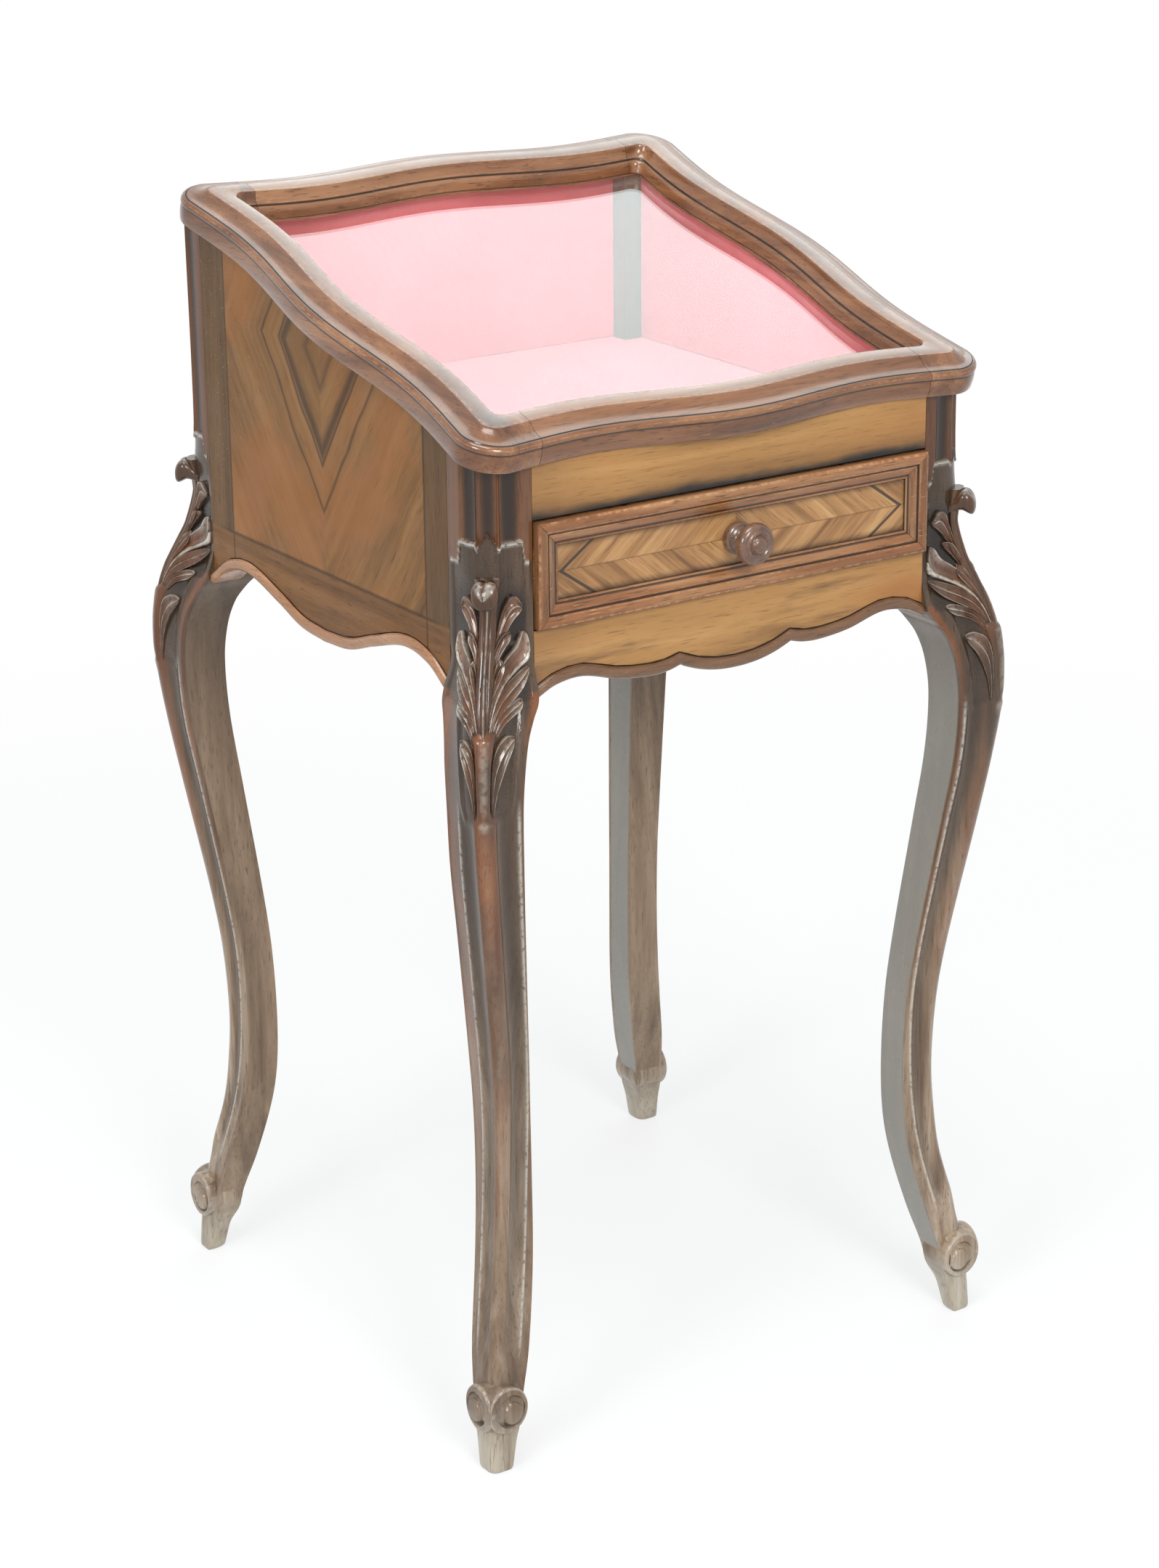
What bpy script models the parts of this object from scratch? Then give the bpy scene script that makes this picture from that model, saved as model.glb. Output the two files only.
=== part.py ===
"""Table vitrine: a square case on four cabriole legs, with a drawer, and over it a lined
compartment under a sloping, hinged, glazed lid. Metres, +Z up, the front faces -Y, and the
origin is on the floor under the middle of the case."""

import math

import bmesh
import bpy
from mathutils import Matrix, Vector

# Case
CASE_HALF = 0.190  # middle of the case to each outer face
POST = 0.037  # side of the square corner posts
PANEL = 0.021  # thickness of the case's boards
GAP = 0.0003  # left between pieces that touch

# Heights, each measured from the one before it
LEG_HEIGHT = 0.530  # floor to where the posts meet the shaped aprons
APRON = 0.036  # from there to the drawer opening
DRAWER_OPENING = 0.0695
FRONT_RAIL = 0.036  # height of the rail's front face, over the drawer
LID_SLOPE = math.radians(15.5)

# Leg shape. Each station gives a share of LEG_HEIGHT and three offsets from the case's corner, measured
# along X and Y alike: the inner corner, the edges beside it, and the rounded outer corner.
LEG_STATIONS = (
    (0.000, -0.0030, 0.0145, 0.0125),
    (0.058, -0.0078, 0.0117, 0.0098),
    (0.090, -0.0122, 0.0122, 0.0100),
    (0.148, -0.0211, 0.0058, 0.0030),
    (0.226, -0.0300, -0.0025, -0.0058),
    (0.283, -0.0338, -0.0066, -0.0092),
    (0.358, -0.0350, -0.0085, -0.0111),
    (0.453, -0.0338, -0.0072, -0.0093),
    (0.538, -0.0304, -0.0024, -0.0045),
    (0.698, -0.0220, 0.0092, 0.0076),
    (0.792, -0.0172, 0.0162, 0.0143),
    (0.868, -0.0160, 0.0184, 0.0184),
    (0.915, -0.0183, 0.0178, 0.0186),
    (0.948, -0.0228, 0.0150, 0.0172),
    (0.970, -0.0290, 0.0115, 0.0153),
    (0.985, -0.0345, 0.0085, 0.0134),
    (1.000, -0.0370, 0.0050, 0.0110),
)
# Above LEG_HEIGHT the post's faces are flush with the case, and only its rounded corner still moves.
CORNER_STATIONS = ((0.015, 0.0056), (0.030, 0.0004), (0.055, -0.0045), (0.090, -0.0070))
LEG_ARC_STEPS = 4
SEGMENTS_BETWEEN_STATIONS = 1
EAR_HEIGHT = 0.0655  # centre of the carved curl, above LEG_HEIGHT
EAR_OFFSET = -0.0022
EAR_RADIUS = 0.0072
EAR_HALF_WIDTH = 0.0085
VOLUTE_HEIGHT = 0.047
VOLUTE_SIDE = 0.0025  # its centre, along the face
VOLUTE_RADIUS = 0.0150
VOLUTE_FACE = 0.0160
BUTTON_RADIUS = 0.0080
BUTTON_FACE = 0.0200
VOLUTE_ROOT = -0.0060

# Shaped lower edges: heights of the bead's underside above LEG_HEIGHT
SIDE_EDGE = ((0.0, -0.0120), (0.030, -0.0095), (0.060, 0.0000), (0.100, 0.0103), (0.130, 0.0060), (0.153, -0.0080))
LOBE = -0.0150  # the front's middle lobe
CUSP = -0.0055
CUSP_AT = 0.0435
CUSP_SHARPNESS = 2.2
FRONT_EDGE = ((CUSP_AT, CUSP), (0.053, -0.0079), (0.066, -0.0087), (0.090, -0.0062), (0.118, 0.0008),
              (0.138, -0.0012), (0.153, -0.0080))
EDGE_STEPS = 24
BEAD = 0.0085  # height of the bead
BEAD_PROUD = 0.0035

# Compartment
FLOOR_BOARD = 0.005
FLOOR_LIFT = 0.0025  # the floor's underside over the drawer opening
CLEAT = 0.010
LINING = 0.002
LINING_SHORT = 0.0006  # the lining stops this far under the hinges' knuckles

# Lid, in its own plane: x across, s up the slope, depth below its top
LID_OVERHANG_X = 0.0065  # its mean edge past the case's sides
LID_OVERHANG_S = 0.0065  # and past the case's front and back
LID_BACK_SET = 0.0072  # its middle lies this far in front of the case's middle, along the slope
LID_THICKNESS = 0.0225
LID_WAVE = 0.0043
LID_WAVE_LENGTH = 0.212
LID_CORNER = 0.024
LID_INNER_CORNER = 0.007
LID_JOINT_INSET = 0.0465  # from the lid's side to the joint of stile and rail
LID_STEPS = 12
MOULDING_TO_FLAT = 0.0174
FLAT_WIDTH = 0.0129
SIGHT = 0.0380
GLASS_DEPTH = 0.0170
REBATE = 0.0305
GLASS = 0.003
PANE_PLAY = 0.0008  # between the pane's edge and the rebate
GLAZING_BEAD = 0.0056
GLAZING_END = 0.0060

# Hinges
HINGE_INSET = 0.043  # middle of the hinge from the corner post
HINGE_LENGTH = 0.030
HINGE_BEHIND = 0.0012  # axis behind the lid's furthest point
KNUCKLE_RADIUS = 0.0025
PIN_RADIUS = 0.0011
PIN_CLEARANCE = 0.0003
LEAF = 0.0012
LEAF_DROP = 0.0006  # each leaf's face from the seat
CASE_LEAF_WIDTH = 0.0115
LID_LEAF_WIDTH = 0.0225
SCREW_SPREAD = 0.009
SCREW_RADIUS = 0.0011
SCREW_HEAD = 0.0021
SCREW_LENGTH = 0.011
ROUND_STEPS = 10

# Drawer
DRAWER_PLAY = 0.0010
DRAWER_FRONT = 0.018
DRAWER_SIDE = 0.008
DRAWER_SIDE_HEIGHT = 0.052
DRAWER_BACK_ROOM = 0.021  # from the drawer to the back panel
DRAWER_BOTTOM = 0.004
GROOVE_LIFT = 0.004
GROOVE_DEPTH = 0.004
MOULDING = 0.0165
MOULDING_PROUD = 0.0060
RUNNER = 0.011
RUNNER_REACH = 0.014  # how far it reaches under the drawer's side
GUIDE = 0.010
SPIGOT_RADIUS = 0.005
SPIGOT_CLEARANCE = 0.0003
# The knob's outline: radius, and distance in front of the drawer
KNOB_OUTLINE = ((0.0000, 0.0280), (0.0052, 0.0272), (0.0066, 0.0250), (0.0090, 0.0252), (0.0125, 0.0226),
                (0.0137, 0.0190), (0.0118, 0.0160), (0.0070, 0.0135), (0.0062, 0.0105), (0.0088, 0.0072),
                (0.0106, 0.0045), (0.0100, GAP))
KNOB_STEPS = 16

# Derived places
OPENING_BOTTOM = LEG_HEIGHT + APRON
OPENING_TOP = OPENING_BOTTOM + DRAWER_OPENING
SEAT = OPENING_TOP + FRONT_RAIL + CASE_HALF * math.tan(LID_SLOPE)  # lid's underside over the case's middle
INNER = CASE_HALF - PANEL  # inner faces of the case's boards
POST_INNER = CASE_HALF - POST
LID_HALF_X = CASE_HALF + LID_OVERHANG_X
LID_HALF_S = CASE_HALF + LID_OVERHANG_S
LID_JOINT_X = LID_HALF_X - LID_JOINT_INSET
HINGE_X = POST_INNER - HINGE_INSET
FLOOR_BOTTOM = OPENING_TOP + FLOOR_LIFT
FLOOR_TOP = FLOOR_BOTTOM + FLOOR_BOARD
LINING_FACE = INNER - GAP - LINING
HINGE_S = LID_HALF_S + LID_WAVE - LID_BACK_SET + HINGE_BEHIND
DRAWER_BASE = OPENING_BOTTOM + DRAWER_PLAY
CORNERS = {"front_left": (-1, -1), "front_right": (1, -1), "back_left": (-1, 1), "back_right": (1, 1)}

# Finishes: colour, roughness, metallic
DARK_WOOD = ((0.095, 0.045, 0.028), 0.35, 0.0)
RED_WOOD = ((0.200, 0.080, 0.042), 0.32, 0.0)
GOLDEN_WOOD = ((0.330, 0.165, 0.070), 0.38, 0.0)
VENEER = ((0.190, 0.095, 0.048), 0.36, 0.0)
PLAIN_WOOD = ((0.480, 0.330, 0.200), 0.60, 0.0)
CLOTH = ((0.560, 0.030, 0.055), 0.95, 0.0)
CLEAR_GLASS = ((0.900, 0.960, 0.950), 0.05, 0.0)
BRASS = ((0.640, 0.450, 0.180), 0.35, 1.0)

for old in list(bpy.data.objects):
    bpy.data.objects.remove(old, do_unlink=True)

parts = bpy.data.collections.new("table_vitrine")
cutters = bpy.data.collections.new("cutters")
bpy.context.scene.collection.children.link(parts)
bpy.context.scene.collection.children.link(cutters)
cutters.hide_render = True


def lid_place(x, s, rise):
    """A point x across, s up the lid's slope and rise above the seat."""
    sine, cosine = math.sin(LID_SLOPE), math.cos(LID_SLOPE)
    return Vector((x, s * cosine - rise * sine, SEAT + s * sine + rise * cosine))


def seat_height(y, below=GAP):
    """Height of the sloping seat at y, less a clearance measured square to it."""
    return SEAT + y * math.tan(LID_SLOPE) - below / math.cos(LID_SLOPE)


def empty(name, location):
    made = bpy.data.objects.new(name, None)
    made.empty_display_size = 0.05
    made.location = location
    parts.objects.link(made)
    return made


CASE = empty("case", (0, 0, 0))
LID_PIVOT = empty("lid_pivot", lid_place(0, HINGE_S, 0))
DRAWER_SLIDE = empty("drawer_slide", (0, -CASE_HALF, DRAWER_BASE))


def finish(name, look):
    colour, roughness, metallic = look
    made = bpy.data.materials.new(name + "_finish")
    made.use_nodes = True
    shader = made.node_tree.nodes["Principled BSDF"]
    shader.inputs["Base Color"].default_value = (*colour, 1)
    shader.inputs["Roughness"].default_value = roughness
    shader.inputs["Metallic"].default_value = metallic
    return made


def part(name, shape, look, carrier, smooth=False):
    """Names a bmesh given in world places and hangs it on its carrier."""
    bmesh.ops.recalc_face_normals(shape, faces=shape.faces)
    mesh = bpy.data.meshes.new(name)
    shape.to_mesh(mesh)
    shape.free()
    mesh.transform(Matrix.Translation(-carrier.location))
    if smooth:
        mesh.shade_smooth()
        mesh.set_sharp_from_angle(angle=math.radians(40))
    mesh.materials.append(finish(name, look))
    made = bpy.data.objects.new(name, mesh)
    made.parent = carrier
    parts.objects.link(made)
    return made


def cutter(name, shape):
    """A helper that a Boolean uses, left out of the model."""
    bmesh.ops.recalc_face_normals(shape, faces=shape.faces)
    mesh = bpy.data.meshes.new(name)
    shape.to_mesh(mesh)
    shape.free()
    made = bpy.data.objects.new(name, mesh)
    made.hide_render = True
    made.display_type = "WIRE"
    cutters.objects.link(made)
    return made


def boolean(target, other, operation):
    made = target.modifiers.new(operation.lower() + "_" + other.name, "BOOLEAN")
    made.operation = operation
    made.object = other
    made.solver = "EXACT"


def box(low, high):
    shape = bmesh.new()
    bmesh.ops.create_cube(shape, size=1)
    low, high = Vector(low), Vector(high)
    for vertex in shape.verts:
        for axis in range(3):
            vertex.co[axis] = high[axis] if vertex.co[axis] > 0 else low[axis]
    return shape


def prism(outline, along):
    """A flat outline, a list of world points, drawn out along a vector."""
    shape = bmesh.new()
    face = shape.faces.new([shape.verts.new(point) for point in outline])
    drawn = bmesh.ops.extrude_face_region(shape, geom=[face])["geom"]
    moved = [item for item in drawn if isinstance(item, bmesh.types.BMVert)]
    bmesh.ops.translate(shape, verts=moved, vec=along)
    return shape


def loft(rings):
    """A skin over closed rings of equal count, with both ends filled."""
    shape = bmesh.new()
    loops = [[shape.verts.new(point) for point in ring] for ring in rings]
    for here, there in zip(loops, loops[1:]):
        for i in range(len(here)):
            j = (i + 1) % len(here)
            shape.faces.new((here[i], here[j], there[j], there[i]))
    shape.faces.new(loops[0])
    shape.faces.new(loops[-1])
    return shape


def rod(start, end, radius, steps):
    """A round bar between two points."""
    start, end = Vector(start), Vector(end)
    shape = bmesh.new()
    bmesh.ops.create_cone(shape, cap_ends=True, segments=steps, radius1=radius, radius2=radius,
                          depth=(end - start).length)
    turn = (end - start).to_track_quat("Z", "Y").to_matrix().to_4x4()
    bmesh.ops.transform(shape, matrix=Matrix.Translation((start + end) / 2) @ turn, verts=shape.verts)
    return shape


def turned(outline, place, steps):
    """A shape turned about Z from (radius, height) points, top to bottom, then placed by a matrix."""
    shape = bmesh.new()
    line = [shape.verts.new((radius, 0, height)) for radius, height in outline]
    edges = [shape.edges.new(pair) for pair in zip(line, line[1:])]
    bmesh.ops.spin(shape, geom=line + edges, cent=(0, 0, 0), axis=(0, 0, 1), angle=math.tau, steps=steps,
                   use_merge=True)
    bmesh.ops.remove_doubles(shape, verts=shape.verts, dist=1e-6)
    bmesh.ops.transform(shape, matrix=place, verts=shape.verts)
    return shape


def along_curve(points, at):
    """Each value at a place, on a smooth curve through points given as (place, value, ...)."""
    places = [point[0] for point in points]
    at = min(max(at, places[0]), places[-1])
    i = min(sum(at >= place for place in places), len(points) - 1)
    low, high = points[i - 1], points[i]
    before, after = points[max(i - 2, 0)], points[min(i + 1, len(points) - 1)]
    span = high[0] - low[0]
    t = (at - low[0]) / span
    values = []
    for k in range(1, len(low)):
        slope_low = (high[k] - before[k]) / (high[0] - before[0]) * span
        slope_high = (after[k] - low[k]) / (after[0] - low[0]) * span
        values.append((2 * t**3 - 3 * t**2 + 1) * low[k] + (t**3 - 2 * t**2 + t) * slope_low
                      + (3 * t**2 - 2 * t**3) * high[k] + (t**3 - t**2) * slope_high)
    return values


# Legs


def leg_section(inner, edge, corner):
    """Offsets (u, v) round the leg: the inner corner, one flat edge, the rounded corner, the other edge."""
    reach = corner - inner
    lean = 0.5 * max(0.0, corner - edge)
    pull = 0.18 * reach
    bend = [(edge, inner), (edge + lean, inner + 0.55 * reach), (corner + pull, corner - pull), (corner, corner)]
    half = []
    for step in range(LEG_ARC_STEPS + 1):
        t = step / LEG_ARC_STEPS
        weights = ((1 - t) ** 3, 3 * t * (1 - t) ** 2, 3 * t**2 * (1 - t), t**3)
        half.append(tuple(sum(w * p[axis] for w, p in zip(weights, bend)) for axis in (0, 1)))
    return [(inner, inner)] + half + [(v, u) for u, v in reversed(half[:-1])]


def leg(name, sign_x, sign_y):
    levels = [(share * LEG_HEIGHT, *offsets) for share, *offsets in LEG_STATIONS]
    levels += [(LEG_HEIGHT + rise, -POST, 0.0, corner) for rise, corner in CORNER_STATIONS]
    rings = []
    for low, high in zip(levels, levels[1:] + [None]):
        for step in range(SEGMENTS_BETWEEN_STATIONS if high else 1):
            height = low[0] + ((high[0] - low[0]) * step / SEGMENTS_BETWEEN_STATIONS if high else 0)
            section = leg_section(*along_curve(levels, height))
            rings.append([(sign_x * (CASE_HALF + u), sign_y * (CASE_HALF + v), height) for u, v in section])
    rings.append([(x, y, seat_height(y)) for x, y, _ in rings[-1]])
    made = part(name, loft(rings), DARK_WOOD, CASE, smooth=True)

    outward = Vector((sign_x, sign_y, 0)).normalized()
    across = Vector((-sign_y, sign_x, 0)).normalized()
    centre = Vector((sign_x, sign_y, 0)) * (CASE_HALF + EAR_OFFSET) + Vector((0, 0, LEG_HEIGHT + EAR_HEIGHT))
    ear = bmesh.new()
    bmesh.ops.create_uvsphere(ear, u_segments=10, v_segments=6, radius=1)
    turn = Matrix((outward * EAR_RADIUS, across * EAR_HALF_WIDTH, Vector((0, 0, EAR_RADIUS)))).transposed()
    bmesh.ops.transform(ear, matrix=Matrix.Translation(centre) @ turn.to_4x4(), verts=ear.verts)
    boolean(made, cutter(name + "_ear", ear), "UNION")

    outline = ((0, BUTTON_FACE), (BUTTON_RADIUS, BUTTON_FACE), (BUTTON_RADIUS, VOLUTE_FACE),
               (VOLUTE_RADIUS, VOLUTE_FACE), (VOLUTE_RADIUS, VOLUTE_ROOT), (0, VOLUTE_ROOT))
    for face, out in (("x", Vector((sign_x, 0, 0))), ("y", Vector((0, sign_y, 0)))):
        side = Vector((sign_x, sign_y, 0)) - out
        root = out * CASE_HALF + side * (CASE_HALF + VOLUTE_SIDE) + Vector((0, 0, VOLUTE_HEIGHT))
        place = Matrix.Translation(root) @ out.to_track_quat("Z", "Y").to_matrix().to_4x4()
        boolean(made, cutter(f"{name}_volute_{face}", turned(outline, place, 14)), "UNION")


for corner_name, (corner_x, corner_y) in CORNERS.items():
    leg("leg_" + corner_name, corner_x, corner_y)


# Case boards and their shaped lower edges


def side_edge(along):
    return LEG_HEIGHT + along_curve(SIDE_EDGE, abs(along))[0]


def front_edge(along):
    if abs(along) < CUSP_AT:
        return LEG_HEIGHT + LOBE + (CUSP - LOBE) * (abs(along) / CUSP_AT) ** CUSP_SHARPNESS
    return LEG_HEIGHT + along_curve(FRONT_EDGE, abs(along))[0]


def steps_between(stops, steps):
    """Places from the first stop to the last, with every stop among them."""
    places = [stops[0]]
    for low, high in zip(stops, stops[1:]):
        count = max(1, round(steps * (high - low) / (stops[-1] - stops[0])))
        places += [low + (high - low) * (i + 1) / count for i in range(count)]
    return places


BOARD_HALF = POST_INNER - GAP
PLAIN_STOPS = (-BOARD_HALF, BOARD_HALF)
CUSP_STOPS = (-BOARD_HALF, -CUSP_AT, 0, CUSP_AT, BOARD_HALF)
# Each case face: where a place along it and a distance out from the case's middle lie on the floor plan
FACES = {
    "front": lambda along, out: (along, -out),
    "back": lambda along, out: (along, out),
    "left": lambda along, out: (-out, along),
    "right": lambda along, out: (out, along),
}


def edge_of(face):
    return (front_edge, CUSP_STOPS) if face == "front" else (side_edge, PLAIN_STOPS)


def board(name, face, look, top=None):
    """A board between two posts, from its shaped edge to the seat or to a level top."""
    edge, stops = edge_of(face)
    spot = FACES[face]
    lower = [(along, edge(along) + BEAD + GAP) for along in steps_between(stops, EDGE_STEPS)]
    skins = []
    for out in (INNER, CASE_HALF):
        points = [Vector((*spot(along, out), height)) for along, height in lower]
        for along in (BOARD_HALF, -BOARD_HALF):
            x, y = spot(along, out)
            points.append(Vector((x, y, top or seat_height(y))))
        skins.append(points)
    return part(name, loft(skins), look, CASE)


def bead(name, face):
    """The rounded moulding along a board's shaped lower edge."""
    edge, stops = edge_of(face)
    spot = FACES[face]
    nose = ((INNER, 0), (CASE_HALF, 0), (CASE_HALF + 0.75 * BEAD_PROUD, 0.2 * BEAD),
            (CASE_HALF + BEAD_PROUD, 0.5 * BEAD), (CASE_HALF + 0.75 * BEAD_PROUD, 0.8 * BEAD),
            (CASE_HALF, BEAD), (INNER, BEAD))
    rings = []
    for along in steps_between(stops, EDGE_STEPS):
        rings.append([(*spot(along, out), edge(along) + up) for out, up in nose])
    part(name, loft(rings), RED_WOOD, CASE, smooth=True)


board("side_panel_left", "left", VENEER)
board("side_panel_right", "right", VENEER)
back_panel = board("back_panel", "back", VENEER)
board("front_apron", "front", GOLDEN_WOOD, top=OPENING_BOTTOM - GAP)
for bead_name, bead_face in (("front_bead", "front"), ("back_bead", "back"), ("side_bead_left", "left"),
                             ("side_bead_right", "right")):
    bead(bead_name, bead_face)

rail_ends = [(-CASE_HALF, OPENING_TOP + GAP), (-INNER, OPENING_TOP + GAP), (-INNER, seat_height(-INNER)),
             (-CASE_HALF, seat_height(-CASE_HALF))]
part("front_rail", prism([(-BOARD_HALF, y, z) for y, z in rail_ends], (2 * BOARD_HALF, 0, 0)), GOLDEN_WOOD, CASE)

# Compartment floor, its cleats and the lining


def notched(half, low, high):
    """A square board with its corners cut out for the posts."""
    cut = POST_INNER - GAP
    quarter = [(half, -cut), (half, cut), (cut, cut)]
    outline = []
    for turn in range(4):
        sine, cosine = round(math.sin(turn * math.pi / 2)), round(math.cos(turn * math.pi / 2))
        outline += [(x * cosine - y * sine, x * sine + y * cosine, low) for x, y in quarter]
    return prism(outline, (0, 0, high - low))


part("display_floor", notched(INNER - GAP, FLOOR_BOTTOM, FLOOR_TOP), PLAIN_WOOD, CASE)
LINING_BOTTOM = FLOOR_TOP + GAP
part("lining_floor", notched(INNER - GAP, LINING_BOTTOM, LINING_BOTTOM + LINING), CLOTH, CASE)
WALL_BOTTOM = LINING_BOTTOM + LINING + GAP
for lining_face, lining_spot in FACES.items():
    lining_rings = []
    for lining_out in (LINING_FACE, LINING_FACE + LINING):
        flat = [lining_spot(along, lining_out) for along in PLAIN_STOPS]
        ring = [(x, y, WALL_BOTTOM) for x, y in flat]
        ring += [(x, y, seat_height(y, KNUCKLE_RADIUS + LINING_SHORT)) for x, y in reversed(flat)]
        lining_rings.append(ring)
    part("lining_" + lining_face, loft(lining_rings), CLOTH, CASE)

for side_name, side in (("left", -1), ("right", 1)):
    edges = sorted((side * (INNER - GAP), side * (INNER - GAP - CLEAT)))
    cleat = box((edges[0], -BOARD_HALF, FLOOR_BOTTOM - GAP - CLEAT), (edges[1], BOARD_HALF, FLOOR_BOTTOM - GAP))
    part("floor_cleat_" + side_name, cleat, PLAIN_WOOD, CASE)

    runner_top = DRAWER_BASE - GAP
    runner_in = POST_INNER - DRAWER_PLAY - RUNNER_REACH
    guide_in = POST_INNER - GAP
    section = ((INNER - GAP, runner_top - RUNNER), (INNER - GAP, runner_top + GUIDE), (guide_in, runner_top + GUIDE),
               (guide_in, runner_top), (runner_in, runner_top), (runner_in, runner_top - RUNNER))
    runner = prism([(side * x, -BOARD_HALF, z) for x, z in section], (0, 2 * BOARD_HALF, 0))
    part("drawer_runner_" + side_name, runner, PLAIN_WOOD, CASE)


# Lid


def wave(along):
    return LID_WAVE * math.cos(math.tau * along / LID_WAVE_LENGTH)


def lid_ring(spot, profile):
    """One section of the lid's frame: spot gives the place in the lid's plane for an inset from its edge."""
    ring = []
    for inset, depth in profile:
        x, s = spot(inset)
        ring.append(lid_place(x, s - LID_BACK_SET, LID_THICKNESS - depth))
    return ring


def rail_spot(x, end):
    return lambda inset: (x, end * (LID_HALF_S - inset + wave(x)))


def side_spot(share, side, stop=None):
    """A place along a stile: share runs from -1 at the front corner's start to 1 at the back corner's."""

    def spot(inset):
        half = LID_HALF_S - inset - corner_radius(inset) if stop is None else stop
        s = share * half
        return side * (LID_HALF_X - inset + wave(s)), s

    return spot


def corner_radius(inset):
    return max(LID_CORNER - inset, LID_INNER_CORNER)


def corner_spot(turn, side, end):
    """A place round a corner of the frame, from the rail at turn 0 to the stile at turn 1."""

    def spot(inset):
        x0 = LID_HALF_X - inset - corner_radius(inset)
        s0 = LID_HALF_S - inset - corner_radius(inset)
        reach_x = LID_HALF_X - inset + wave(s0) - x0
        reach_s = LID_HALF_S - inset + wave(x0) - s0
        angle = turn * math.pi / 2
        return side * (x0 + reach_x * math.sin(angle)), end * (s0 + reach_s * math.cos(angle))

    return spot


def stub_spot(share, side, end):
    """A place on a stile's end, between its joint with the rail and the corner."""

    def spot(inset):
        start = LID_JOINT_X + GAP / 2
        x = start + share * (LID_HALF_X - inset - corner_radius(inset) - start)
        return side * x, end * (LID_HALF_S - inset + wave(x))

    return spot


FLAT_EDGE = MOULDING_TO_FLAT + FLAT_WIDTH
LID_PROFILE = (
    (0.0011, LID_THICKNESS), (0.0, 0.0150), (0.0004, 0.0102), (0.0012, 0.0072), (0.0032, 0.0048),
    (0.0075, 0.0043), (0.0125, 0.0026), (MOULDING_TO_FLAT, 0.0), (FLAT_EDGE, 0.0), (FLAT_EDGE + 0.0008, 0.0040),
    (FLAT_EDGE + 0.0035, 0.0085), (FLAT_EDGE + 0.0042, 0.0093), (SIGHT - 0.0010, 0.0125), (SIGHT, GLASS_DEPTH),
    (REBATE, GLASS_DEPTH), (REBATE, LID_THICKNESS),
)
ARC = (0, 0.25, 0.5, 0.75)


def frame_rail(name, end):
    half = LID_JOINT_X - GAP / 2
    places = [half * (2 * i / LID_STEPS - 1) for i in range(LID_STEPS + 1)]
    return part(name, loft([lid_ring(rail_spot(x, end), LID_PROFILE) for x in places]), RED_WOOD, LID_PIVOT,
                smooth=True)


def frame_stile(name, side):
    spots = [stub_spot(share, side, -1) for share in (0, 0.5)]
    spots += [corner_spot(turn, side, -1) for turn in ARC]
    spots += [side_spot(2 * i / LID_STEPS - 1, side) for i in range(LID_STEPS + 1)]
    spots += [corner_spot(turn, side, 1) for turn in reversed(ARC)]
    spots += [stub_spot(share, side, 1) for share in (0.5, 0)]
    part(name, loft([lid_ring(spot, LID_PROFILE) for spot in spots]), RED_WOOD, LID_PIVOT, smooth=True)


frame_rail("lid_rail_front", -1)
lid_rail_back = frame_rail("lid_rail_back", 1)
frame_stile("lid_stile_left", -1)
frame_stile("lid_stile_right", 1)

pane_inset = REBATE + PANE_PLAY
pane_limit = LID_HALF_X - pane_inset - corner_radius(pane_inset)
pane_turns = ARC + (1,)
stretch = [2 * i / LID_STEPS - 1 for i in range(1, LID_STEPS)]
pane_spots = []
for pane_side, pane_end in ((1, -1), (-1, 1)):
    pane_spots += [corner_spot(turn, pane_side, pane_end) for turn in pane_turns]
    pane_spots += [side_spot(-pane_end * share, pane_side) for share in stretch]
    pane_spots += [corner_spot(turn, pane_side, -pane_end) for turn in reversed(pane_turns)]
    pane_spots += [rail_spot(-pane_side * share * pane_limit, -pane_end) for share in stretch]
pane_depth = GLASS_DEPTH + GAP
pane_loops = []
for pane_level in (pane_depth, pane_depth + GLASS):
    pane_loops.append([lid_ring(spot, ((pane_inset, pane_level),))[0] for spot in pane_spots])
part("glass_pane", loft(pane_loops), CLEAR_GLASS, LID_PIVOT)

bead_top = pane_depth + GLASS + GAP
bead_section = ((pane_inset, bead_top), (pane_inset + GLAZING_BEAD, bead_top),
                (pane_inset + GLAZING_BEAD, LID_THICKNESS - GAP), (pane_inset, LID_THICKNESS - GAP))
bead_half_x = LID_HALF_X - REBATE - GLAZING_END
bead_half_s = LID_HALF_S - pane_inset - GLAZING_BEAD - LID_WAVE - GAP
bead_shares = [2 * i / LID_STEPS - 1 for i in range(LID_STEPS + 1)]
for bead_name, bead_end in (("front", -1), ("back", 1)):
    shape = loft([lid_ring(rail_spot(share * bead_half_x, bead_end), bead_section) for share in bead_shares])
    part("glazing_bead_" + bead_name, shape, RED_WOOD, LID_PIVOT)
for bead_name, bead_side in (("left", -1), ("right", 1)):
    shape = loft([lid_ring(side_spot(share, bead_side, bead_half_s), bead_section) for share in bead_shares])
    part("glazing_bead_" + bead_name, shape, RED_WOOD, LID_PIVOT)

# Hinges


def slab(x, width, s_low, s_high, rise_low, rise_high):
    """A flat plate lying with the lid, centred on x."""
    outline = [(-width / 2, s_low), (width / 2, s_low), (width / 2, s_high), (-width / 2, s_high)]
    low = [lid_place(x + across, s, rise_low) for across, s in outline]
    return prism(low, lid_place(0, 0, rise_high) - lid_place(0, 0, rise_low))


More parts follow.
